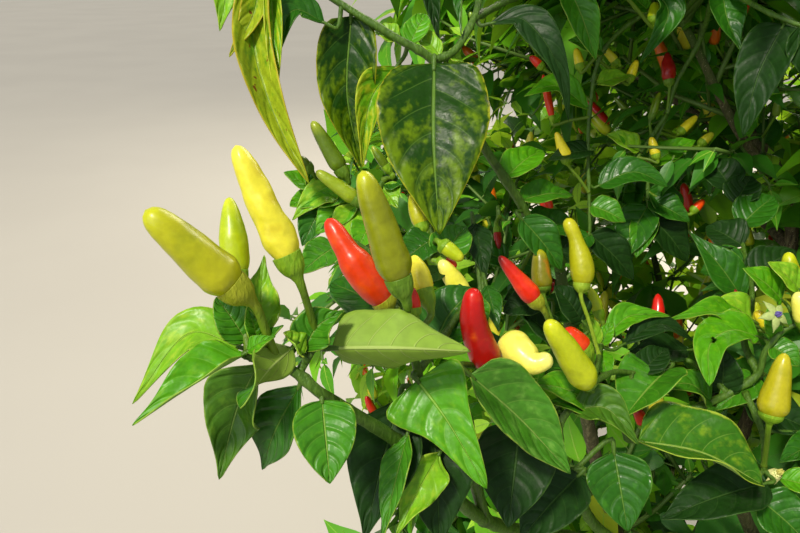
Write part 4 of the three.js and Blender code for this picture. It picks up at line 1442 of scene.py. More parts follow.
@dataclass(frozen=True)
class Spray:
    """A near spray: its bough, its twigs, leaves, chillies and flowers, and the solid that it stands for."""

    name: str
    bough: str
    twigs: tuple
    leaves: tuple[Leaf, ...]
    chillies: tuple[Chilli, ...]
    flowers: tuple[Blossom, ...] = ()
    node: str = ""
    foot_radius: float = 0
    twig_tip: float = 1.0
    side_twig_share: float = 0.72
    least_foot: float = 1.2
    knot_mm: float = 24
    knot_swell: float = 0.28
    row_mm: float = 2.5

    def grow(self, skeleton: Skeleton) -> None:
        """Makes the spray's pieces.

        Args:
            skeleton: Gives the bough's tip.
        """
        lines, stems = [], []
        node = self.node or self.name
        main = self.foot_radius or skeleton.radii[self.bough][1]
        for number, points in enumerate(self.twigs):
            start = skeleton.stem_start(self.bough) if number == 0 else []
            line = Line([*start, *map(VIEW.seen, points)])
            foot = main if number == 0 else max(self.least_foot, self.side_twig_share * main)
            lines.append(line)
            long_mm = line.length() / MM

            def radius(around: float, along: float, foot: float = foot, long_mm: float = long_mm) -> float:
                """Gives the twig's radius: four soft ridges, and a knot at each even step.

                Args:
                    around: The share round it.
                    along: The share along it.
                    foot: Its radius at its foot, in mm.
                    long_mm: Its length.

                Returns:
                    The radius in metres.
                """
                base = lerp(foot, self.twig_tip, along)
                knot = abs((along * long_mm) % self.knot_mm - self.knot_mm / 2)
                ridge = 1 + 0.05 * math.cos(2 * math.pi * around * 4)
                return MM * base * (1 + self.knot_swell * math.exp(-((knot / 1.8) ** 2))) * ridge

            stems.append(tube(line, radius, 12, max(12, round(long_mm / self.row_mm))))
        stems.extend(leaf.stalk(lines) for leaf in self.leaves)
        name = f"{self.name}_twigs"
        add_piece(name, finished(join(stems), name), [StemFinish().skin()], [node])
        for number, leaf in enumerate(self.leaves):
            leaf.add(f"{self.name}_leaf_{number + 1}", node, number + len(self.name))
        for number, chilli in enumerate(self.chillies):
            chilli.add(f"{self.name}_chilli_{number + 1}", node, lines, number + len(self.name))
        for number, flower in enumerate(self.flowers):
            flower.add(f"{self.name}_flower_{number + 1}", node, lines, number)
        LOG.info("%s: %d leaves, %d chillies", self.name, len(self.leaves), len(self.chillies))


PICKED_SPRAY = Spray(
    "picked_spray",
    "bough_picked",
    twigs=(
        ((298, 374, 179), (274, 362, 176), (250, 358, 173)),
        ((298, 374, 179), (318, 340, 184)),
    ),
    leaves=(
        Leaf((246, 353, 171), (132, 425, 160), 16, Blade.BRIGHT, via=((202, 378, 165),), folds=(58, 10)),
        Leaf((242, 348, 176), (132, 404, 178), 14, Blade.YOUNG, via=((191, 333, 179),), folds=(14, 4)),
        Leaf((247, 342, 174), (216, 297, 172), 10, Blade.MID, Form.ROUND, roll=-12),
        Leaf((258, 342, 174), (248, 306, 172), 6, Blade.BRIGHT, Form.ROUND, roll=20),
        Leaf((266, 336, 178), (264, 255, 184), 10, Blade.YOUNG, via=((261, 300, 181),), wave=0.45,
             folds=(6, 6)),
        Leaf((292, 348, 177), (240, 408, 163), 13, Blade.PALE_BACK, Form.ROUND, via=((266, 372, 171),),
             roll=170, twist=-140, folds=(16, 16)),
        Leaf((258, 364, 178), (219, 480, 184), 20, Blade.OLIVE, via=((236, 412, 186),), folds=(14, 30)),
        Leaf((303, 352, 181), (343, 311, 182), 13, Blade.MID, via=((318, 326, 181),), folds=(40, 14)),
        Leaf((303, 356, 178), (284, 332, 176), 9, Blade.YOUNG, Form.ROUND, roll=30, folds=(30, 10)),
        Leaf((332, 348, 186), (470.5, 351, 186), 24, Blade.PALE_BACK, Form.HEART, roll=180, folds=(88, -12),
             via=((400, 348, 183),)),
        Leaf((300, 385, 180), (262, 470, 196), 17, Blade.DARK),
        Leaf((322, 400, 180), (330, 484, 172), 17, Blade.MID, Form.BROAD),
        Leaf((260, 345, 173), (283, 325, 170), 4, Blade.MID),
        Leaf((246, 352, 171), (275, 336, 169), 5, Blade.BRIGHT),
    ),
    chillies=(
        Chilli((288, 350, 176), (234, 287, 163), (145, 210, 153), 5.3, Ripeness.MUTED, Pod.LONG,
               green=Green.TURNING, stalk=1.1, cup=5.5),
        Chilli((252, 348, 173), (237, 276, 178), (229, 197, 180), 3.7, Ripeness.GREEN_YELLOW, Pod.POINTED,
               stalk=1.1, cup=5),
        Chilli((316, 330, 183), (289, 259, 172), (235.5, 145, 167), 4.25, Ripeness.PALE, Pod.STOUT,
               bumps=0.16, stalk=1.0, cup=5.5),
    ),
)

MIDDLE_SPRAY = Spray(
    "middle_spray",
    "bough_middle_front",
    twigs=(
        ((418, 372, 212), (407, 330, 202), (395, 306, 207)),
        (
            (418, 372, 212), (448, 330, 228), (464, 298, 240), (450, 274, 246), (437, 252, 252),
            (430, 226, 258),
        ),
        ((395, 306, 207), (385, 262, 240), (366, 214, 262), (344, 190, 268), (312, 198, 276)),
        ((366, 214, 262), (384, 180, 268)),
    ),
    leaves=(
        Leaf((417, 380, 209), (487, 489, 200), 28, Blade.BRIGHT, Form.DELTA, via=((446, 419, 205),),
             folds=(30, -20), wave=0.04),
        Leaf((398, 318, 214), (331, 283, 230), 19, Blade.DARK, Form.ROUND),
        Leaf((400, 398, 216), (364, 540, 206), 24, Blade.DEEP),
        Leaf((434, 345, 231), (474, 288, 240), 22, Blade.DARK, Form.ROUND, via=((449, 315, 235),),
             folds=(6, 6)),
        Leaf((336, 246, 234), (300, 274, 226), 13, Blade.MID, Form.BROAD),
        Leaf((432, 396, 220), (440, 545, 214), 27, Blade.DEEP, Form.HEART),
        Leaf((408, 432, 207), (382, 540, 196), 11, Blade.MID, roll=30),
        Leaf((440, 452, 212), (396, 536, 200), 13, Blade.YOUNG, wave=0.4, roll=-40, twist=60),
        Leaf((462, 300, 241), (484, 330, 238), 13, Blade.MID, Form.ROUND),
        Leaf((434, 238, 255), (402, 262, 250), 15, Blade.DARK, Form.ROUND),
        Leaf((440, 262, 250), (466, 226, 262), 16, Blade.MID, Form.BROAD),
        Leaf((445, 268, 248), (410, 292, 236), 8, Blade.DEEP),
        Leaf((340, 192, 268), (292, 220, 262), 14, Blade.YOUNG, via=((318, 196, 264),)),
        Leaf((350, 196, 267), (300, 208, 262), 10, Blade.BRIGHT),
        Leaf((352, 200, 266), (316, 234, 262), 15, Blade.BRIGHT, Form.BROAD),
        Leaf((360, 208, 263), (332, 244, 258), 13, Blade.YOUNG, Form.BROAD),
        Leaf((322, 196, 274), (284, 172, 268), 9, Blade.BRIGHT, Form.ROUND),
        Leaf((318, 197, 274), (306, 170, 268), 8, Blade.MID, Form.ROUND),
        Leaf((316, 198, 275), (290, 206, 268), 9, Blade.BRIGHT, Form.ROUND),
        Leaf((372, 222, 258), (356, 252, 250), 13, Blade.BRIGHT),
        Leaf((384, 182, 268), (410, 180, 266), 12, Blade.DARK, Form.BROAD),
        Leaf((380, 186, 267), (398, 208, 262), 12, Blade.YOUNG),
        Leaf((330, 194, 271), (302, 246, 262), 16, Blade.DARK, Form.BROAD),
    ),
    chillies=(
        Chilli((405, 325, 201), (399.5, 281, 184), (362, 170.5, 176), 4.9, Ripeness.OLIVE, Pod.LONG,
               bumps=0.06, green=Green.SHADY, stalk=1.2),
        Chilli((392, 316, 206), (385, 302, 204), (327, 218.5, 200), 4.9, Ripeness.SCARLET, Pod.SHOULDERED,
               via=((354.5, 262, 200),), green=Green.TURNING, cup=3),
        Chilli((462, 300, 240), (464, 295, 246), (440, 260, 244), 3.6, Ripeness.BUTTER, cup=2),
        Chilli((412, 340, 206), (425, 294, 214), (413.5, 255, 217), 3.5, Ripeness.PALE, Pod.POINTED),
        Chilli((434, 243, 254), (443, 245, 244), (463, 260, 242), 2.7, Ripeness.GREEN_YELLOW, cup=1.5),
        Chilli((412, 330, 205), (415, 312, 205), (412.5, 287, 205), 1.9, Ripeness.RED, Pod.POINTED, cup=1.5),
        Chilli((438, 256, 252), (442, 262, 248), (457, 266, 247), 2.2, Ripeness.SCARLET, cup=2.5),
        Chilli((430, 228, 258), (422, 227, 257), (411, 194, 259), 3.1, Ripeness.SHADED, Pod.POINTED, cup=3),
        Chilli((347, 192, 268), (342, 171, 260), (312, 121, 256), 3.3, Ripeness.UNRIPE, Pod.LONG,
               green=Green.SHADY, stalk=0.8, cup=4),
        Chilli((366, 214, 262), (357, 200, 256), (316, 171, 254), 3.0, Ripeness.GREEN, Pod.LONG,
               green=Green.SHADY, stalk=0.8, cup=4),
        Chilli((322, 194, 274), (308, 168, 262), (298, 157, 260), 2.3, Ripeness.UNRIPE, Pod.ROUND,
               green=Green.SHADY, stalk=0.7, cup=2.5),
        Chilli((386, 182, 268), (387, 168, 264), (372, 146, 262), 1.9, Ripeness.UNRIPE, Pod.POINTED, cup=3),
    ),
)

CLUSTER_SPRAY = Spray(
    "cluster_spray",
    "bough_cluster",
    twigs=(
        ((560, 425, 264), (590, 385, 270), (601, 346, 300)),
        ((560, 425, 264), (515, 385, 250), (490, 368, 242)),
        ((590, 385, 270), (560, 350, 290), (536, 300, 318), (506, 262, 330), (498, 206, 338)),
        ((590, 385, 270), (614, 372, 286), (640, 374, 296)),
    ),
    leaves=(
        Leaf((470, 375, 221), (571, 474, 234), 26.5, Blade.HALF_LIT, Form.HEART, via=((522, 421, 231),),
             folds=(34, 20), wave=0.06),
        Leaf((571, 411, 264), (639, 445, 256), 17, Blade.OLIVE, via=((605, 408, 260),), folds=(30, 20)),
        Leaf((595, 404, 268), (534, 384, 260), 15, Blade.BRIGHT, Form.BROAD, via=((562, 388, 264),)),
        Leaf((596, 408, 268), (546, 402, 262), 11, Blade.MID),
        Leaf((614, 452, 272), (628, 532, 268), 26, Blade.DARK, Form.BROAD, via=((620, 486, 270),),
             folds=(20, 5)),
        Leaf((580, 474, 268), (520, 540, 262), 25, Blade.DEEP, Form.BROAD),
        Leaf((520, 425, 252), (508, 528, 246), 30, Blade.DEEP, Form.HEART, via=((514, 476, 249),)),
        Leaf((505, 385, 250), (470, 320, 262), 16, Blade.DARK),
        Leaf((604, 340, 304), (671, 316, 312), 13, Blade.BRIGHT, wave=0.25, via=((630, 316, 309),),
             folds=(25, 20)),
        Leaf((622, 345, 304), (696, 342, 316), 12, Blade.DEEP, via=((660, 324, 310),)),
        Leaf((638, 441, 284), (763, 485, 284), 37, Blade.DAPPLED, Form.OVAL, via=((702, 453, 282),),
             folds=(10, 46)),
        Leaf((486, 284, 252), (499, 332, 242), 8, Blade.DARK),
        Leaf((474, 222, 268), (486, 281, 254), 11, Blade.DEEP),
        Leaf((541, 302, 292), (503, 312, 290), 14, Blade.DEEP, Form.ROUND),
        Leaf((540, 292, 318), (504, 300, 306), 14, Blade.DEEP, Form.BROAD),
        Leaf((556, 340, 296), (520, 312, 290), 15, Blade.DEEP, Form.BROAD),
        Leaf((598, 345, 300), (582, 312, 302), 8, Blade.YOUNG, Form.ROUND),
        Leaf((601, 346, 300), (612, 322, 302), 7, Blade.BRIGHT, Form.ROUND),
        Leaf((600, 350, 299), (609, 384, 288), 9, Blade.BRIGHT),
        Leaf((508, 262, 330), (470, 248, 330), 15, Blade.DARK, Form.BROAD),
        Leaf((546, 318, 312), (590, 300, 322), 18, Blade.DARK, Form.BROAD),
        Leaf((668, 369, 300), (625, 416, 280), 31, Blade.MID, Form.ROUND, folds=(40, 8)),
        Leaf((583, 322, 290), (555, 286, 287), 15, Blade.DEEP, Form.ROUND),
        Leaf((640, 374, 296), (668, 348, 308), 14, Blade.DEEP, Form.BROAD),
    ),
    chillies=(
        Chilli((496, 382, 243), (490.5, 368, 232), (473, 288, 222), 5.3, Ripeness.STREAKED, Pod.LONG,
               via=((474, 325, 226),), cup=1.6, lap=0.5, green=Green.SHADY),
        Chilli((512, 384, 249), (509, 338, 238), (552.5, 357.5, 226), 5.8, Ripeness.BUTTER, Pod.BENT,
               via=((519, 352, 233), (535.5, 363, 228)), cup=1.4, lap=0.3, stalk=0.9),
        Chilli((590, 398, 268), (589, 385, 252), (547, 320.5, 240), 5.5, Ripeness.LIME, Pod.LONG, cup=1.8,
               lap=0.4, green=Green.SHADY),
        Chilli((562, 352, 290), (536, 301, 276), (499, 256, 274), 4.1, Ripeness.RED, Pod.TAPERED,
               green=Green.TURNING, cup=4, stalk=1.1),
        Chilli((560, 350, 288), (542.5, 288, 283), (539, 249, 283), 4.2, Ripeness.BLUSH, green=Green.SHADY,
               cup=2, lap=0.6),
        Chilli((590, 352, 293), (581.5, 286, 283), (566.5, 218, 283), 4.95, Ripeness.SHADED, Pod.WAISTED,
               via=((582.5, 269, 283), (579, 252, 283), (574.5, 235.5, 283)), cup=2.8, stalk=0.8,
               green=Green.LIGHT),
        Chilli((602, 350, 300), (599, 313, 312), (589.5, 287, 314), 2.7, Ripeness.GREEN_YELLOW, Pod.POINTED,
               cup=4),
        Chilli((575, 360, 285), (582, 350, 278), (565, 329, 276), 5.0, Ripeness.SCARLET),
        Chilli((500, 218, 336), (497, 230, 332), (499, 249, 330), 1.9, Ripeness.MAROON, Pod.POINTED, cup=2.5),
        Chilli((520, 276, 326), (548, 212, 340), (545, 197, 340), 3.2, Ripeness.RED, Pod.ROUND, cup=2.5),
        Chilli((640, 374, 296), (644, 424, 300), (636, 408, 298), 2.8, Ripeness.RED, cup=2.5),
    ),
)

RIGHT_SPRAY = Spray(
    "right_spray",
    "bough_front",
    twigs=(
        ((728, 394, 328), (758, 374, 324), (765, 352, 320), (784, 330, 316), (815, 318, 312)),
        ((758, 374, 324), (744, 340, 335), (752, 300, 345), (744, 250, 380), (732, 190, 410)),
        ((745, 392, 325), (762, 432, 312), (764, 470, 304)),
        ((728, 394, 328), (706, 372, 330), (688, 360, 318)),
    ),
    leaves=(
        Leaf((767, 483, 298), (662, 519, 290), 25, Blade.DEEP, Form.BROAD),
        Leaf((759, 337, 322), (709.5, 386, 297), 19, Blade.BRIGHT, Form.ROUND,
             via=((733, 330, 318), (710, 345, 308)), hole=(715, 339, 310)),
        Leaf((752, 325, 330), (668, 320, 316), 14, Blade.BRIGHT, wave=0.3, via=((712, 312, 324),),
             folds=(25, 25)),
        Leaf((752, 320, 332), (704, 314, 326), 15, Blade.YOUNG, wave=0.2, via=((732, 306, 330),)),
        Leaf((782, 300, 324), (743, 268, 318), 17, Blade.BRIGHT, Form.BROAD),
        Leaf((800, 290, 322), (768, 262, 318), 14, Blade.YOUNG, Form.BROAD),
        Leaf((748, 302, 344), (706, 300, 350), 16, Blade.MID),
        Leaf((712, 402, 326), (656, 388, 310), 16, Blade.MID, Form.BROAD, via=((690, 384, 318),)),
        Leaf((722, 394, 330), (724, 350, 326), 18, Blade.DEEP, Form.ROUND),
        Leaf((690, 350, 340), (620, 358, 330), 18, Blade.DEEP),
        Leaf((745, 405, 325), (815, 432, 318), 24, Blade.DEEP, Form.BROAD),
        Leaf((760, 378, 330), (716, 410, 326), 17, Blade.MID, Form.BROAD),
        Leaf((757, 497, 302), (812, 548, 295), 24, Blade.DARK, Form.BROAD),
        Leaf((778, 478, 304), (826, 492, 300), 13, Blade.BRIGHT),
        Leaf((830, 438, 316), (779, 462, 305), 16, Blade.DARK, Form.BROAD),
        Leaf((745, 302, 345), (690, 232, 352), 20, Blade.DARK),
        Leaf((743, 246, 382), (706, 226, 400), 24, Blade.DEEP, Form.BROAD),
        Leaf((740, 226, 392), (775, 196, 400), 24, Blade.DARK, Form.BROAD),
        Leaf((732, 190, 408), (708, 158, 424), 24, Blade.DEEP, Form.BROAD),
        Leaf((746, 262, 374), (700, 272, 392), 22, Blade.DARK, Form.BROAD),
        Leaf((749, 278, 364), (796, 250, 372), 22, Blade.DEEP, Form.BROAD),
        Leaf((735, 204, 402), (752, 176, 410), 22, Blade.DEEP, Form.BROAD),
        Leaf((770, 345, 320), (800, 366, 314), 14, Blade.MID, Form.BROAD),
        Leaf((774, 338, 318), (768, 308, 316), 8, Blade.BRIGHT, Form.ROUND),
    ),
    chillies=(
        Chilli((764, 466, 304), (771, 416, 289), (785, 353, 285), 6.3, Ripeness.RIPE_GOLD, Pod.TAPERED, cup=3,
               stalk=1.15),
        Chilli((805, 322, 313), (792, 282, 326), (788, 252, 326), 4.2, Ripeness.LIME),
        Chilli((815, 326, 312), (806, 322, 309), (797, 292, 307), 4.4, Ripeness.BUTTER),
        Chilli((744, 340, 338), (735, 317, 345), (735, 289, 345), 2.9, Ripeness.MAROON, Pod.POINTED, cup=3),
        Chilli((750, 330, 336), (767, 326, 334), (756, 311, 334), 3.2, Ripeness.GOLD, cup=3),
    ),
    flowers=(
        Blossom((776, 315, 306), (790, 330, 314), (0.2, -0.75, 0.65), reach=7.6),
        Blossom((778, 473, 300), (764, 466, 304), (0.2, -0.5, 0.8), faded=True, reach=7),
    ),
)

UPPER_SPRAY = Spray(
    "upper_spray",
    "bough_front_left",
    twigs=(
        (
            (541, 245, 296), (521, 204, 288), (484, 147, 275), (433, 61, 262), (396, 38, 258), (335, 0, 255),
            (250, -60, 252), (200, -130, 258),
        ),
        ((433, 61, 262), (453, 52, 264), (474, 18, 268), (484, -20, 275), (520, -90, 285)),
        ((335, 0, 255), (330, -90, 262)),
        ((474, 18, 268), (510, 0, 300), (560, -20, 340), (640, -30, 372)),
    ),
    leaves=(
        Leaf((434, 63, 257), (439.5, 235, 246), 41, Blade.MOTTLED, Form.HEART, via=((433.5, 145, 248),),
             folds=(6, 6)),
        Leaf((351, 16, 260), (361.5, 168, 268), 24, Blade.MOTTLED, Form.HEART, via=((347, 96, 264),)),
        Leaf((268, -64, 250), (309.5, 184, 240), 22, Blade.YELLOWED, Form.BROAD,
             via=((253, 34, 247), (274, 114, 243)), folds=(44, 50), twist=20, wave=0.25),
        Leaf((262, -30, 249), (229, 57, 243), 12, Blade.YELLOWED, via=((252, 18, 245),), folds=(30, 40)),
        Leaf((270, -40, 248), (276, 113, 242), 9, Blade.LIMY, via=((274, 40, 243),), folds=(40, 40)),
        Leaf((325, 23, 254), (274, 64, 244), 13, Blade.DARK, via=((294, 10, 250),), folds=(24, 24)),
        Leaf((397, 66, 265), (362, 168, 263), 16, Blade.LIMY, via=((371, 100, 260),), folds=(28, 42)),
        Leaf((488, 24, 268), (569, 122, 270), 15, Blade.DEEP,
             via=((519, 18, 265), (534, 29, 263), (550, 50, 262), (563, 81, 265))),
        Leaf((462, -30, 268), (461, 35, 262), 7, Blade.DARK, roll=50, folds=(40, 40)),
        Leaf((424, -30, 270), (439, 42, 266), 9, Blade.DEEP, folds=(40, 30)),
        Leaf((240, -60, 252), (219.5, 31, 248), 15, Blade.YOUNG),
        Leaf((440, 56, 264), (416, 30, 268), 8, Blade.YOUNG, Form.ROUND),
        Leaf((446, 54, 264), (464, 62, 268), 7, Blade.YOUNG),
        Leaf((398, 40, 260), (376, 28, 262), 9, Blade.YOUNG, Form.ROUND),
        Leaf((410, 44, 262), (426, 14, 268), 10, Blade.BRIGHT, Form.ROUND),
        Leaf((330, -85, 261), (395, -150, 250), 26, Blade.MID),
        Leaf((330, -85, 261), (270, -190, 262), 26, Blade.DARK),
        Leaf((205, -125, 257), (120, -190, 256), 24, Blade.MID),
        Leaf((519, -85, 284), (590, -150, 290), 26, Blade.BRIGHT),
        Leaf((519, -85, 284), (470, -190, 292), 26, Blade.DARK),
        Leaf((521, 218, 285), (562, 270, 287), 17, Blade.DARK, Form.BROAD),
        Leaf((530, 232, 300), (578, 224, 322), 20, Blade.DARK, Form.BROAD),
        Leaf((545, 250, 300), (590, 262, 316), 17, Blade.DEEP, Form.BROAD),
        Leaf((520, 200, 292), (574, 196, 322), 15, Blade.MID, Form.BROAD),
        Leaf((505, 178, 286), (543, 150, 312), 16, Blade.BRIGHT, Form.BROAD),
        Leaf((620, -28, 368), (640, 64, 372), 20, Blade.DARK, via=((668, 10, 366),), folds=(10, 40)),
        Leaf((566, -20, 344), (596, 60, 350), 18, Blade.MID, Form.BROAD),
    ),
    chillies=(
        Chilli((520, -80, 283), (528, -120, 283), (532, -200, 280), 5, Ripeness.LIME),
        Chilli((600, -24, 360), (654, 20, 372), (655, 2, 372), 3.4, Ripeness.GREEN_YELLOW, cup=3),
    ),
)

HIGH_SPRAY = Spray(
    "high_spray",
    "bough_high_left",
    twigs=(
        ((716, -16, 372), (745, 0, 350), (776, 16, 338), (812, 30, 330)),
        ((716, -16, 372), (700, 40, 404), (676, 84, 418), (667, 114, 424), (650, 160, 430), (648, 216, 434)),
        ((716, -16, 372), (650, 10, 390), (604, 50, 398), (590, 110, 404), (590, 236, 410)),
        ((667, 114, 424), (648, 142, 426), (636, 160, 424)),
    ),
    leaves=(
        Leaf((722, -12, 366), (741, 51, 356), 21, Blade.DARK, via=((727, 18, 360),), folds=(12, 30)),
        Leaf((648, 214, 432), (688, 262, 438), 27, Blade.DEEP, Form.BROAD),
        Leaf((648, 205, 433), (618, 262, 432), 26, Blade.DARK, Form.BROAD),
        Leaf((648, 190, 432), (684, 222, 440), 24, Blade.DARK, Form.BROAD),
        Leaf((590, 234, 409), (634, 280, 416), 24, Blade.DEEP, Form.BROAD),
        Leaf((784, 24, 338), (743, 137, 344), 26, Blade.DEEP, Form.HEART, via=((758, 76, 340),)),
        Leaf((800, 26, 332), (820, 90, 336), 24, Blade.DEEP, Form.BROAD),
        Leaf((590, 110, 404), (524, 96, 396), 18, Blade.BRIGHT, via=((556, 86, 400),)),
        Leaf((598, 186, 408), (669, 187, 402), 20, Blade.DARK, Form.BROAD, via=((634, 172, 404),)),
        Leaf((592, 150, 406), (548, 160, 400), 15, Blade.DEEP, Form.BROAD),
        Leaf((590, 205, 409), (626, 222, 404), 18, Blade.MID, Form.BROAD),
        Leaf((648, 200, 432), (690, 222, 426), 20, Blade.DARK, Form.BROAD),
        Leaf((650, 165, 430), (696, 140, 432), 18, Blade.BRIGHT, Form.BROAD),
        Leaf((648, 214, 434), (636, 258, 426), 18, Blade.MID, Form.BROAD),
        Leaf((590, 234, 410), (556, 262, 402), 17, Blade.DARK, Form.BROAD),
        Leaf((604, 52, 398), (568, 40, 396), 15, Blade.MID, Form.BROAD),
        Leaf((596, 84, 401), (632, 76, 404), 14, Blade.YOUNG),
        Leaf((650, 12, 390), (620, -10, 392), 16, Blade.BRIGHT),
        Leaf((640, 150, 425), (606, 134, 424), 15, Blade.YOUNG, Form.BROAD),
    ),
    chillies=(
        Chilli((667, 114, 424), (669, 82, 418), (667, 52, 418), 4.0, Ripeness.MAROON, Pod.POINTED, bumps=0.2,
               cup=3, green=Green.SHADY, stalk=0.8),
        Chilli((650, 150, 428), (652, 116, 424), (660, 92, 424), 2.5, Ripeness.UNRIPE, Pod.POINTED, cup=3,
               green=Green.SHADY, stalk=0.8),
        Chilli((590, 190, 408), (567, 160, 404), (556, 132, 402), 3.8, Ripeness.GOLD, Pod.TAPERED, cup=3),
        Chilli((640, 160, 425), (656, 156, 420), (651, 137, 420), 3.0, Ripeness.GOLD, cup=3),
        Chilli((650, 190, 430), (694, 210, 430), (704, 200, 430), 2.8, Ripeness.SCARLET, cup=3),
        Chilli((660, 130, 426), (681, 131, 436), (697, 116, 436), 3.0, Ripeness.GOLD, cup=3),
        Chilli((660, 132, 427), (702, 143, 440), (713, 133, 440), 3.0, Ripeness.PALE, cup=3),
        Chilli((602, 60, 398), (630, 78, 410), (637, 60, 410), 2.8, Ripeness.GOLD, cup=3),
        Chilli((604, 52, 398), (580, 66, 404), (576, 48, 404), 2.8, Ripeness.GOLD, cup=3),
        Chilli((596, 80, 401), (616, 62, 410), (602, 46, 410), 2.6, Ripeness.PALE, cup=3),
        Chilli((590, 120, 404), (552, 118, 412), (543, 74, 412), 2.4, Ripeness.SCARLET, Pod.ROUND, cup=3),
        Chilli((590, 100, 404), (541, 66, 414), (530, 56, 414), 2.6, Ripeness.RED, cup=3),
    ),
    node="leaves_high_left",
    foot_radius=2.2,
)

SPRAYS = (PICKED_SPRAY, MIDDLE_SPRAY, CLUSTER_SPRAY, RIGHT_SPRAY, UPPER_SPRAY, HIGH_SPRAY)


@dataclass(frozen=True)
class Mass:
    """A leafy mass: the bough it goes on from, the middle of its own space in mm, and its seed."""

    name: str
    bough: str
    middle: tuple[float, float, float]
    seed: int

    @property
    def place(self) -> Vector:
        """The middle of its space, in metres."""
        return Vector(self.middle) * MM


MASSES = (
    Mass("leaves_back", "bough_back", (10, 285, 610), 11),
    Mass("leaves_right", "bough_right", (315, -20, 590), 12),
    Mass("leaves_top", "bough_middle", (-20, 70, 850), 13),
    Mass("leaves_left", "bough_left", (-235, 10, 600), 14),
    Mass("leaves_back_left", "bough_back_left", (-205, 215, 590), 35),
    Mass("leaves_back_right", "bough_back_right", (250, 220, 600), 16),
    Mass("leaves_front_right", "bough_front_right", (185, -265, 570), 17),
    Mass("leaves_high_right", "bough_high_right", (190, 50, 770), 18),
    Mass("leaves_high_back", "bough_high_back", (30, 205, 790), 19),
    Mass("leaves_high_front", "bough_high_front", (110, -190, 770), 20),
    Mass("leaves_high_left", "bough_high_left", (-140, -80, 830), 25),
    Mass("leaves_high_back_left", "bough_high_back_left", (-165, 160, 775), 27),
    Mass("leaves_inner", "bough_inner", (95, -75, 570), 28),
    Mass("leaves_low_back_left", "bough_low_back_left", (-95, 235, 385), 29),
    Mass("leaves_low_front_left", "bough_low_front_left", (-165, -200, 390), 26),
    Mass("leaves_low_left", "bough_low_left", (-200, 60, 370), 21),
    Mass("leaves_low_back", "bough_low_back", (90, 225, 370), 22),
    Mass("leaves_low_right", "bough_low_right", (255, -50, 370), 23),
    Mass("leaves_low_front", "bough_low_front", (55, -260, 380), 24),
)


class Tone(Enum):
    """The plain colours that the crown's leaves are dealt out in, spray by spray."""

    DEEP = PlainFinish("crown_leaf_deep", "#255216", 0.42, 0.22, glow="#5f9a20")
    DARK = PlainFinish("crown_leaf_dark", "#316c18", 0.4, 0.26, glow="#7cb824")
    GREEN = PlainFinish("crown_leaf_green", "#468b1a", 0.4, 0.32, glow="#98d22a")
    BRIGHT = PlainFinish("crown_leaf_bright", "#68ae1e", 0.42, 0.38, glow="#b8e434")
    YOUNG = PlainFinish("crown_leaf_young", "#9acb36", 0.44, 0.42, glow="#d4ec50")
    YELLOW = PlainFinish("crown_leaf_yellowing", "#9aa826", 0.46, 0.36, glow="#ccd03c")


class CrownFruit(Enum):
    """The plain colours of the crown's chillies, from the least ripe to the ripest."""

    GREEN = PlainFinish("crown_chilli_green", "#738f28", 0.28, 0, 0.3)
    LIME = PlainFinish("crown_chilli_yellow_green", "#b9c222", 0.28, 0, 0.3)
    GOLD = PlainFinish("crown_chilli_yellow", "#e3d63a", 0.28, 0, 0.3)
    ORANGE = PlainFinish("crown_chilli_orange", "#e0660f", 0.28, 0, 0.3)
    RED = PlainFinish("crown_chilli_red", "#bd1a10", 0.28, 0, 0.3)


# The half-width of a crown leaf along it, and the radius of a crown chilli along it, as shares.
CROWN_BLADE = ((0.05, 0.36), (0.15, 0.76), (0.3, 1.0), (0.47, 0.93), (0.64, 0.66), (0.8, 0.33), (0.92, 0.12))
CROWN_POD = (
    (0, 0.66), (0.07, 0.88), (0.2, 1), (0.42, 0.94), (0.66, 0.78), (0.86, 0.58), (0.96, 0.32), (1, 0.05),
)

# The older and younger tone of a side twig's leaves, dealt out by the growth's own stream of numbers.
TONE_DEALS = (
    (Tone.DARK, Tone.BRIGHT), (Tone.GREEN, Tone.YOUNG), (Tone.DEEP, Tone.GREEN), (Tone.BRIGHT, Tone.YOUNG),
    (Tone.DARK, Tone.YOUNG), (Tone.GREEN, Tone.BRIGHT), (Tone.BRIGHT, Tone.YOUNG), (Tone.DARK, Tone.GREEN),
)


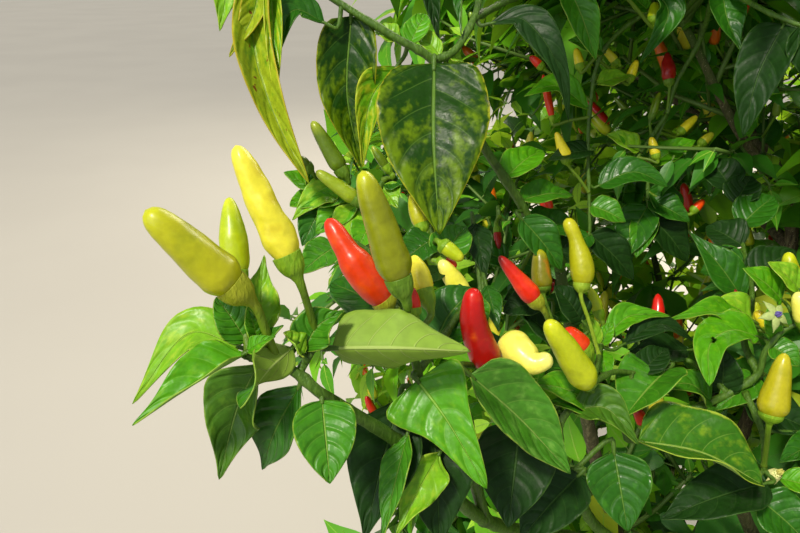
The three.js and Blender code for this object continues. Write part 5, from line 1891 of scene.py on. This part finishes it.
class Sheaf:
    """Small things of one kind and colour, gathered as arrays for one joined piece."""

    most_triangles = 190000

    def __init__(self) -> None:
        """Starts empty."""
        self.points: list[Vector] = []
        self.faces: list[tuple[int, ...]] = []

    def ring_tube(self, line: Line, radii: Sequence[float], shares: Sequence[float], sides: int) -> None:
        """Gathers a small closed tube.

        Args:
            line: What it follows.
            radii: The radius at each ring in mm, 0 at a pointed end.
            shares: Where each ring lies along the line.
            sides: Faces round.
        """
        first = len(self.points)
        frames = []
        reference = UP.cross(line.heading(0.5))
        reference = reference if reference.length > 0.1 else RIGHT
        for share in shares:
            along = line.heading(share)
            across = (reference - along * reference.dot(along)).normalized()
            frames.append((line.at(share), across, along.cross(across)))
        for radius, (centre, across, beside) in zip(radii, frames):
            for i in range(sides):
                angle = 2 * math.pi * i / sides
                self.points.append(centre + (across * math.cos(angle) + beside * math.sin(angle)) * radius * MM)
        for row in range(len(shares) - 1):
            for i in range(sides):
                a, b = first + row * sides + i, first + row * sides + (i + 1) % sides
                self.faces.append((a, b, b + sides, a + sides))
        last = first + (len(shares) - 1) * sides
        self.faces.append(tuple(reversed(range(first, first + sides))))
        self.faces.append(tuple(range(last, last + sides)))

    def blade(
        self, foot: Vector, tip: Vector, upper: Vector, width: float, droop: float, fold: float,
        wave: float = 0, veins: "Sheaf | None" = None,
    ) -> None:
        """Gathers a leaf of few faces in its own outline: folded along its midrib, arched and a little wavy.

        Args:
            foot: Where the blade starts.
            tip: Its point.
            upper: Roughly the way its upper side faces.
            width: Its width in metres.
            droop: How far it arches, as a share of its length.
            fold: How far its halves are lifted.
            wave: How far its edge rises and falls, as a share of its half width.
            veins: What gathers its veins, if they are to show.
        """
        along = tip - foot
        length = along.length
        along = along.normalized()
        across = along.cross(upper).normalized()
        above = across.cross(along)
        first = len(self.points)
        self.points.append(foot)
        for row, (share, wide) in enumerate(CROWN_BLADE):
            middle = foot + along * length * share + above * 4 * droop * length * share * (1 - share)
            half = wide * width / 2
            for side in (-1, 0, 1):
                ripple = wave * math.sin(2.1 * row + 1.5 * side) * abs(side)
                self.points.append(middle + across * side * half + above * half * (abs(side) * fold + ripple))
        self.points.append(tip)
        end = len(self.points) - 1
        self.faces += [(first, first + 2, first + 1), (first, first + 3, first + 2)]
        for row in range(len(CROWN_BLADE) - 1):
            a = first + 1 + 3 * row
            self.faces += [(a, a + 1, a + 3), (a + 1, a + 4, a + 3)]
            self.faces += [(a + 1, a + 2, a + 5), (a + 1, a + 5, a + 4)]
        a = end - 3
        self.faces += [(a, a + 1, end), (a + 1, a + 2, end)]
        if veins:
            veins.rib(self.points[first:], across, above)

    def rib(self, blade: Sequence[Vector], across: Vector, above: Vector, proud: float = 0.3) -> None:
        """Gathers a leaf's raised midrib and its side veins as slivers just above the blade.

        Args:
            blade: The blade's points, its foot first and its tip last.
            across: The way across it.
            above: The way its upper side faces.
            proud: How far they stand off in mm.
        """
        rows = (len(blade) - 2) // 3
        lift = above * proud * MM
        middles = [blade[0], *(blade[2 + 3 * row] for row in range(rows)), blade[-1]]
        first = len(self.points)
        for number, middle in enumerate(middles):
            half = across * lerp(0.42, 0.1, number / (rows + 1)) * MM
            self.points += [middle + lift - half, middle + lift + half]
        for number in range(rows + 1):
            a = first + 2 * number
            self.faces.append((a, a + 1, a + 3, a + 2))
        for row in range(rows - 2):
            middle, onward = blade[2 + 3 * row], blade[5 + 3 * row]
            for side in (4, 6):
                spot = len(self.points)
                edge = middle.lerp(blade[side + 3 * row], 0.88)
                root = middle.lerp(onward, 0.06)
                self.points += [middle + lift, root + lift, edge + lift]
                self.faces.append((spot, spot + 1, spot + 2) if side == 4 else (spot, spot + 2, spot + 1))

    def add(self, name: str, material: bpy.types.Material, slot: str, nodes: Sequence[str]) -> int:
        """Puts the gathered things in the scene as one piece, or as several when it has more triangles than one
        may hold.

        Args:
            name: The piece's name.
            material: Its finish.
            slot: The record's material slot; not used.
            nodes: The solids that it stands for.

        Returns:
            How many triangles it has.
        """
        total = sum(len(face) - 2 for face in self.faces)
        parts = 1 + total // self.most_triangles
        step = -(-len(self.faces) // parts)
        for part in range(parts):
            faces = self.faces[part * step : (part + 1) * step]
            used = sorted({i for face in faces for i in face})
            low, high = used[0], used[-1]
            mesh = bpy.data.meshes.new(name)
            points = [tuple(p) for p in self.points[low : high + 1]]
            mesh.from_pydata(points, [], [tuple(i - low for i in face) for face in faces])
            mesh.validate()
            add_piece(f"{name}_{part + 1}" if parts > 1 else name, mesh, [material], nodes)
        return total


@dataclass
class Crown:
    """The leafy masses, grown on from the boughs' tips to finer twigs, life-size leaves and chillies."""

    skeleton: Skeleton
    centre: tuple[float, float, float] = (35, 5, 585)
    radius: float = 405
    above: float = 350
    below: float = 400
    near_depth: float = 400
    near_border_px: float = 25
    clear_left_px: float = 322
    clear_left_low_px: float = 236
    clear_above_px: float = 300
    mass_margin: float = 1.5
    tries: int = 12
    side_twigs: int = 15
    side_twig_length: tuple[float, float] = (75, 125)
    side_twig_angle: tuple[float, float] = (0.8, 1.25)
    fine_twigs: int = 4
    fine_twig_length: tuple[float, float] = (35, 65)
    shoot_mm: float = 24
    shoot_from: float = 0.42
    leaf_length: tuple[float, float] = (40, 76)
    leaf_width_share: float = 0.45
    leaf_angle: tuple[float, float] = (0.7, 1.3)
    small_depth: tuple[float, float] = (400, 800)
    small_share: float = 0.46
    fruit_depth: float = 520
    fruit_from_px: float = 650
    low_row_px: float = 425
    low_from_px: float = 780
    low_depth: float = 1000
    clear_px: float = 12
    clear_mm: float = 14
    shoot_length: tuple[float, float] = (60, 105)
    shoot_fine_twigs: int = 2
    twig_leaf_spots: tuple[float, ...] = (0.2, 0.34, 0.48, 0.62, 0.76, 0.88)
    fine_leaf_spots: tuple[float, ...] = (0.25, 0.42, 0.6, 0.78)
    stem_leaf_spots: tuple[float, ...] = (0.2, 0.4, 0.55, 0.7, 0.85, 0.97)
    fruit_spots: tuple[float, ...] = (0.6, 0.8, 0.92)
    fruit_chance: float = 0.5
    fine_fruit_chance: float = 0.3
    flower_chance: float = 0.12
    yellow_chance: float = 0.03
    ripe_spread: float = 0.25
    chilli_radius: tuple[float, float] = (3.8, 5.2)
    chilli_length: tuple[float, float] = (20, 32)
    chilli_stalk: tuple[float, float] = (13, 19)
    petal_length: float = 7
    petal_width: float = 4.4
    twigs: Sheaf = field(default_factory=Sheaf)
    leaves: dict[Tone, Sheaf] = field(default_factory=lambda: {tone: Sheaf() for tone in Tone})
    veins: Sheaf = field(default_factory=Sheaf)
    dark_veins: Sheaf = field(default_factory=Sheaf)
    fruit: dict[CrownFruit, Sheaf] = field(default_factory=lambda: {kind: Sheaf() for kind in CrownFruit})
    calyces: Sheaf = field(default_factory=Sheaf)
    petals: Sheaf = field(default_factory=Sheaf)
    counts: dict[str, int] = field(default_factory=lambda: {"leaves": 0, "chillies": 0, "flowers": 0})
    kept_clear: list[tuple[Vector, Vector]] = field(
        default_factory=lambda: [(Vector(c.calyx), Vector(c.tip)) for spray in SPRAYS for c in spray.chillies]
    )

    def in_crown(self, point: Vector) -> bool:
        """Tells whether a point lies in the crown and out of the space that the near sprays are seen through.

        Args:
            point: A point in metres.

        Returns:
            Whether the crown may reach there.
        """
        offset = point / MM - Vector(self.centre)
        tall = self.above if offset.z > 0 else self.below
        if (offset.x**2 + offset.y**2) / self.radius**2 + offset.z**2 / tall**2 > 1:
            return False
        column, row, depth = VIEW.sight(point)
        if depth > 0:
            border = self.near_border_px
            beside = -border < column < VIEW.width_px + border
            inside = beside and -border < row < VIEW.height_px + border
            if inside and (depth < self.near_depth or self.hides_chilli(column, row, depth)):
                return False
            edge = self.clear_left_px if row < self.clear_above_px else self.clear_left_low_px
            if column < edge and row > -border:
                return False
        return True

    def hides_chilli(self, column: float, row: float, depth: float) -> bool:
        """Tells whether a point stands before a chilli of the sprays, or in it.

        Args:
            column: Where the point is seen.
            row: Likewise.
            depth: How far from the eye it is, in mm.

        Returns:
            Whether it does.
        """
        for calyx, tip in self.kept_clear:
            if depth < calyx.z + self.clear_mm:
                seen = Vector((column, row, 0))
                low, high = calyx.to_2d().to_3d(), tip.to_2d().to_3d()
                share = (seen - low).dot(high - low) / (high - low).length_squared
                if (seen - low.lerp(high, min(max(share, 0), 1))).length < self.clear_px:
                    return True
        return False

    def shows_leaves(self, point: Vector) -> bool:
        """Tells whether a point stands close to the eye, where leaves alone show between the near sprays."""
        column, _, depth = VIEW.sight(point)
        return 0 < depth < self.fruit_depth and 0 < column < self.fruit_from_px

    def shows_low_leaves(self, point: Vector) -> bool:
        """Tells whether a point stands low in the picture, where leaves alone show."""
        column, row, depth = VIEW.sight(point)
        return 0 < depth < self.low_depth and 0 < column < self.low_from_px and row > self.low_row_px

    def leaf_share(self, point: Vector) -> float:
        """Gives a leaf's share of full size: the shoots that face the eye end in small young leaves.

        Args:
            point: Where the leaf stands.

        Returns:
            The share.
        """
        column, row, depth = VIEW.sight(point)
        if depth <= 0 or not (0 < column < VIEW.width_px and 0 < row < VIEW.height_px):
            return 1
        near, far = self.small_depth
        return lerp(self.small_share, 1, min(max((depth - near) / (far - near), 0), 1))

    def in_space(self, mass: Mass | None, point: Vector) -> bool:
        """Tells whether a point lies in a mass's own space: in the crown and nearest its middle.

        Args:
            mass: The mass, or nothing for a shoot on a bough, which may grow anywhere in the crown.
            point: A point in metres.

        Returns:
            Whether the mass may reach there.
        """
        if not self.in_crown(point):
            return False
        if mass is None:
            return True
        own = Vector(mass.middle)
        at = point / MM
        for other in MASSES:
            if other is mass:
                continue
            theirs = Vector(other.middle)
            nearer = (at - theirs).length_squared - (at - own).length_squared
            if nearer / (2 * (own - theirs).length) <= self.mass_margin:
                return False
        return True

    def grow(self) -> None:
        """Grows every mass and the boughs' own shoots, then joins each kind apart."""
        for mass in MASSES:
            Growth(self, mass, mass.seed).grow_mass(mass)
        for number, limb in enumerate(LIMBS):
            if not limb.green:
                Growth(self, None, 60 + number).grow_shoots(limb)
        names = [mass.name for mass in MASSES]
        stem = PlainFinish("crown_twig", "#4f6a2c", 0.5, 0)
        total = self.twigs.add("crown_twigs", stem.made(), "green_stem", names)
        for tone, sheaf in self.leaves.items():
            total += sheaf.add(f"crown_leaves_{tone.name.lower()}", tone.value.made(), "foliage", names)
        pale = PlainFinish("crown_leaf_vein", "#8fb840", 0.45, 0.3)
        total += self.veins.add("crown_leaf_veins", pale.made(), "foliage", names)
        dull = PlainFinish("crown_leaf_vein_dark", "#4d7c2a", 0.45, 0.25)
        total += self.dark_veins.add("crown_dark_leaf_veins", dull.made(), "foliage", names)
        for kind, sheaf in self.fruit.items():
            total += sheaf.add(f"crown_chillies_{kind.name.lower()}", kind.value.made(), "foliage", names)
        calyx = PlainFinish("crown_calyx", "#6b8f2c", 0.45, 0)
        total += self.calyces.add("crown_calyces", calyx.made(), "foliage", names)
        petal = PlainFinish("crown_petal", "#dfe6c0", 0.6, 0.25)
        total += self.petals.add("crown_flowers", petal.made(), "foliage", names)
        LOG.info("crown: %d triangles, %s", total, self.counts)


class Growth:
    """Growth by the source's rule: side twigs round a stem, finer twigs, leaves and chillies along them."""

    def __init__(self, crown: Crown, mass: Mass | None, seed: int) -> None:
        """Starts the growth's own stream of numbers.

        Args:
            crown: What it grows in.
            mass: The mass whose space it keeps to, if it has one.
            seed: Tells its numbers from the other growths'.
        """
        self.crown = crown
        self.mass = mass
        self.random = random.Random(seed)
        self.roll = self.random.uniform(0, math.pi)

    def stem_line(self, mass: Mass) -> Line:
        """Lays the stem from just past the bough's tip, through the middle, outward to the end of the space.

        Args:
            mass: The mass that it carries.

        Returns:
            The stem's line.
        """
        crown = self.crown
        middle = mass.place
        outward = (middle / MM - Vector(crown.centre)).normalized()
        points = [*crown.skeleton.stem_start(mass.bough), middle]
        step, spare = 15, 45
        reach = step
        end = None
        while crown.in_space(mass, middle + outward * (reach + spare) * MM):
            end = middle + outward * reach * MM
            reach += step
        return Line(points + [end] if end is not None else points)

    def branch(self, line: Line, at: float, lengths: tuple[float, float], shrink: float) -> Line | None:
        """Finds room for a twig on another.

        Args:
            line: The carrying twig.
            at: Where on it.
            lengths: The shortest and longest twig in mm.
            shrink: How much shorter the last try is.

        Returns:
            The new twig's line, or nothing if there is no room.
        """
        crown = self.crown
        hold = line.at(at)
        heading = line.heading(at)
        for attempt in range(crown.tries):
            self.roll += GOLDEN_ANGLE
            way = turned(heading, self.random.uniform(*crown.side_twig_angle), self.roll)
            length = self.random.uniform(*lengths) * (1 - shrink * attempt / crown.tries) * MM
            bend = hold + way * length / 2
            tip = bend + (way + UP * 0.35).normalized() * length / 2
            if crown.in_space(self.mass, tip) and crown.in_space(self.mass, bend):
                return Line([hold, hold.lerp(bend, 0.5) + way * length * 0.02, bend, tip])
        return None

    def add_leaf(self, line: Line, at: float, tone: Tone, size: float = 1) -> None:
        """Grows a leaf on a twig, turned on by the golden angle until it has room.

        Args:
            line: The twig.
            at: Where on it.
            tone: The leaf's colour.
            size: A share of full size.
        """
        crown = self.crown
        hold, heading = line.at(at), line.heading(at)
        size *= crown.leaf_share(hold)
        for attempt in range(crown.tries):
            self.roll += GOLDEN_ANGLE
            way = turned(heading, self.random.uniform(*crown.leaf_angle), self.roll)
            way.z -= 0.25
            way.normalize()
            length = self.random.uniform(*crown.leaf_length) * size * (1 - 0.4 * attempt / crown.tries) * MM
            foot = hold + way * length * 0.16
            tip = foot + way * length
            tip.z -= 0.12 * length
            if not crown.in_space(self.mass, tip) or not crown.in_space(self.mass, foot):
                continue
            upper = UP + (tip / MM - Vector(crown.centre)).normalized() * 0.8
            upper += Vector([self.random.uniform(-0.35, 0.35) for _ in range(3)])
            droop = self.random.uniform(0.03, 0.13)
            fold = self.random.uniform(0.05, 0.5)
            width = length * crown.leaf_width_share * self.random.uniform(0.82, 1.12)
            wave = self.random.uniform(0, 0.12)
            veins = crown.dark_veins if tone in (Tone.DEEP, Tone.DARK) else crown.veins
            crown.leaves[tone].blade(foot, tip, upper, width, droop, fold, wave, veins)
            crown.twigs.ring_tube(Line([hold, foot.lerp(tip, 0.03)]), (0.8, 0.5), (0, 1), 3)
            crown.counts["leaves"] += 1
            return

    def add_fruit(self, line: Line, at: float, ripe: float) -> None:
        """Grows an erect chilli on its stalk.

        Args:
            line: The twig.
            at: Where on it.
            ripe: How ripe it is, from 0 to 1.
        """
        crown = self.crown
        hold = line.at(at)
        erect = (line.heading(at) + UP * 1.3).normalized()
        for _ in range(crown.tries):
            lean = turned(erect, self.random.uniform(0.1, 0.6), self.random.uniform(0, 2 * math.pi))
            calyx = hold + lean * self.random.uniform(*crown.chilli_stalk) * MM
            kinds = list(CrownFruit)
            kind = kinds[min(len(kinds) - 1, int(ripe * len(kinds)))]
            small = 0.6 if kind is CrownFruit.GREEN else 1
            tip = calyx + erect * self.random.uniform(*crown.chilli_length) * small * MM
            if not crown.in_space(self.mass, tip) or crown.shows_leaves(tip):
                continue
            radius = self.random.uniform(*crown.chilli_radius) * (0.7 if small < 1 else 1)
            if crown.shows_low_leaves(tip):
                return
            body = Line([calyx, calyx.lerp(tip, 0.5) + lean * 1.5 * MM, tip])
            shares, widths = zip(*CROWN_POD)
            crown.fruit[kind].ring_tube(body, [radius * wide for wide in widths], shares, 8)
            stalk = Line([hold, hold.lerp(calyx, 0.6), calyx, calyx + (tip - calyx) * 0.05])
            stalk_radii = (0.9, 0.8, 0.9, radius * 0.7, radius * 0.82)
            crown.calyces.ring_tube(stalk, stalk_radii, (0, 0.4, 0.7, 0.93, 1), 6)
            crown.counts["chillies"] += 1
            return

    def add_flower(self, line: Line, at: float) -> None:
        """Grows a small flower of five petals.

        Args:
            line: The twig.
            at: Where on it.
        """
        crown = self.crown
        hold = line.at(at)
        facing = (line.heading(at) + Vector((0, 0, 0.6))).normalized()
        centre = hold + facing * 12 * MM
        if not crown.in_space(self.mass, centre):
            return
        side = facing.cross(RIGHT).normalized()
        for number in range(5):
            out = side.copy()
            out.rotate(Matrix.Rotation(2 * math.pi * number / 5, 3, facing))
            tip = centre + (out * crown.petal_length + facing * 0.5) * MM
            crown.petals.blade(centre, tip, facing, crown.petal_width * MM, 0.1, 0.1)
        crown.calyces.ring_tube(Line([hold, centre - facing * 2 * MM, centre]), (0.7, 0.7, 1.6), (0, 0.6, 1), 5)
        crown.counts["flowers"] += 1

    def dress_twig(self, line: Line, leaf_spots: Sequence[float], tones: tuple[Tone, Tone]) -> None:
        """Sets leaves along a twig and a small young pair at its end.

        Args:
            line: The twig.
            leaf_spots: Where its leaves stand, as shares of it.
            tones: The older and the younger leaves' tone.
        """
        for at in leaf_spots:
            self.add_leaf(line, at, tones[0])
        self.add_leaf(line, 0.98, tones[1], 0.62)
        self.add_leaf(line, 1.0, tones[1], 0.45)

    def grow_side(self, stem: Line, at: float, lengths: tuple[float, float], fine_twigs: int) -> None:
        """Grows one side twig with its finer twigs, leaves, chillies and flowers.

        Args:
            stem: What carries it.
            at: Where on the stem.
            lengths: The shortest and longest it may be, in mm.
            fine_twigs: How many finer twigs it has.
        """
        crown = self.crown
        twig = self.branch(stem, at, lengths, 0.7)
        if twig is None:
            return
        rings = (0, 0.33, 0.66, 1)
        crown.twigs.ring_tube(twig, [lerp(1.9, 1.2, s) for s in rings], rings, 5)
        tones = TONE_DEALS[self.random.randrange(len(TONE_DEALS))]
        ripe = self.random.random()
        spread = crown.ripe_spread
        self.dress_twig(twig, crown.twig_leaf_spots, tones)
        for fruit_at in crown.fruit_spots:
            if self.random.random() < crown.fruit_chance:
                self.add_fruit(twig, fruit_at, (ripe + self.random.uniform(-spread, spread)) % 1)
        for number in range(fine_twigs):
            fine = self.branch(twig, 0.2 + 0.75 * number / max(1, fine_twigs - 1), crown.fine_twig_length, 0.6)
            if fine is None:
                continue
            crown.twigs.ring_tube(fine, (1.3, 0.9), (0, 1), 4)
            old = Tone.YELLOW if self.random.random() < crown.yellow_chance else tones[0]
            self.dress_twig(fine, crown.fine_leaf_spots, (old, tones[1]))
            if self.random.random() < crown.fine_fruit_chance:
                self.add_fruit(fine, 0.75, (ripe + self.random.uniform(-spread, spread)) % 1)
            elif self.random.random() < crown.flower_chance:
                self.add_flower(fine, 0.95)

    def grow_mass(self, mass: Mass) -> None:
        """Grows a whole mass on its stem.

        Args:
            mass: The mass.
        """
        crown = self.crown
        stem = self.stem_line(mass)
        foot = crown.skeleton.radii[mass.bough][1]
        shares = [i / 12 for i in range(13)]
        crown.twigs.ring_tube(stem, [lerp(foot, 1.4, s) for s in shares], shares, 7)
        for side in range(crown.side_twigs):
            at = 0.12 + 0.84 * side / (crown.side_twigs - 1)
            self.grow_side(stem, at, crown.side_twig_length, crown.fine_twigs)
        for at in crown.stem_leaf_spots:
            self.add_leaf(stem, at, Tone.GREEN)

    def grow_shoots(self, limb: Limb) -> None:
        """Grows the leafy shoots that stand on a bough itself.

        Args:
            limb: The bough.
        """
        crown = self.crown
        line = crown.skeleton.lines[limb.name]
        long_mm = line.length() / MM
        count = round(long_mm * (1 - crown.shoot_from) / crown.shoot_mm)
        for number in range(count):
            at = crown.shoot_from + (0.97 - crown.shoot_from) * (number + 0.5) / count
            self.grow_side(line, at, crown.shoot_length, crown.shoot_fine_twigs)


@dataclass
class Studio:
    """A plain pale floor, a soft sky and large soft lamps."""

    floor_size: float = 60
    floor: str = "#94918a"
    sky: str = "#dfe5ea"
    sky_strength: float = 0.62
    sun: str = "#fff6e6"
    sun_strength: float = 4.7
    sun_wide: float = 7
    sun_towards: tuple[float, float, float] = (0.37, 0.6, -0.88)

    def add_floor(self) -> None:
        """Lays the floor under the bush."""
        mesh = bmesh.new()
        bmesh.ops.create_grid(mesh, x_segments=4, y_segments=4, size=self.floor_size / 2)
        floor = bpy.data.objects.new("floor", finished(mesh, "floor"))
        p = Palette("floor_matt_paper")
        cloud = p.add("TexNoise", {"Vector": p.place, "Scale": per_mm(900), "Detail": 3})
        tone = p.add("MapRange", (cloud, 0.3, 0.7, 0.97, 1.02), EASED)
        colour = p.add("HueSaturation", {"Value": tone, "Color": self.floor})
        floor.data.materials.append(p.surface({"Base Color": colour, "Roughness": 0.9}))
        bpy.context.scene.collection.objects.link(floor)

    def add_lamp(self, name: str, place: Vector, aim: Vector, size: float, watts: float, colour: str) -> None:
        """Hangs a square lamp.

        Args:
            name: The lamp.
            place: Where it hangs.
            aim: What it faces.
            size: Its side in metres.
            watts: Its power.
            colour: Its colour.
        """
        data = bpy.data.lights.new(name, "AREA")
        data.size = size
        data.energy = watts
        data.color = linear(colour)[:3]
        lamp = bpy.data.objects.new(name, data)
        lamp.location = place
        lamp.rotation_euler = (aim - place).to_track_quat("-Z", "Y").to_euler()
        bpy.context.scene.collection.objects.link(lamp)

    def add_sun(self) -> None:
        """Adds the soft key light, as wide as a thin cloud makes the sun."""
        data = bpy.data.lights.new("key", "SUN")
        data.energy = self.sun_strength
        data.angle = math.radians(self.sun_wide)
        data.color = linear(self.sun)[:3]
        lamp = bpy.data.objects.new("key", data)
        lamp.rotation_euler = Vector(self.sun_towards).to_track_quat("-Z", "Y").to_euler()
        bpy.context.scene.collection.objects.link(lamp)

    def light(self) -> None:
        """Sets the sky and the lamps."""
        scene = bpy.context.scene
        world = bpy.data.worlds.new("studio")
        scene.world = world
        world.use_nodes = True
        world.node_tree.nodes.clear()
        back = add_node(world.node_tree, "Background", {"Color": self.sky, "Strength": self.sky_strength})
        add_node(world.node_tree, "OutputWorld", {"Surface": back.outputs[0]})
        self.add_sun()
        self.add_lamp("fill", Vector((-2.2, -2.6, 1.8)), Vector((0, 0, 0.6)), 2.5, 40, "#f3f6ff")
        self.add_lamp("back", Vector((1.4, 2.4, 2.2)), Vector((0.1, 0, 0.6)), 2.5, 190, "#fff4dc")
        scene.view_settings.view_transform = "Standard"


def main() -> None:
    """Builds the bush and its studio, and logs the counts of its parts."""
    logging.basicConfig(level=logging.INFO, format="%(name)s: %(message)s")
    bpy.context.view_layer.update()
    VIEW.add_camera()
    studio = Studio()
    studio.add_floor()
    studio.light()
    skeleton = Skeleton()
    skeleton.lay()
    skeleton.dress()
    for spray in SPRAYS:
        spray.grow(skeleton)
    Crown(skeleton).grow()
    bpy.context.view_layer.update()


if __name__ == "__main__":
    main()
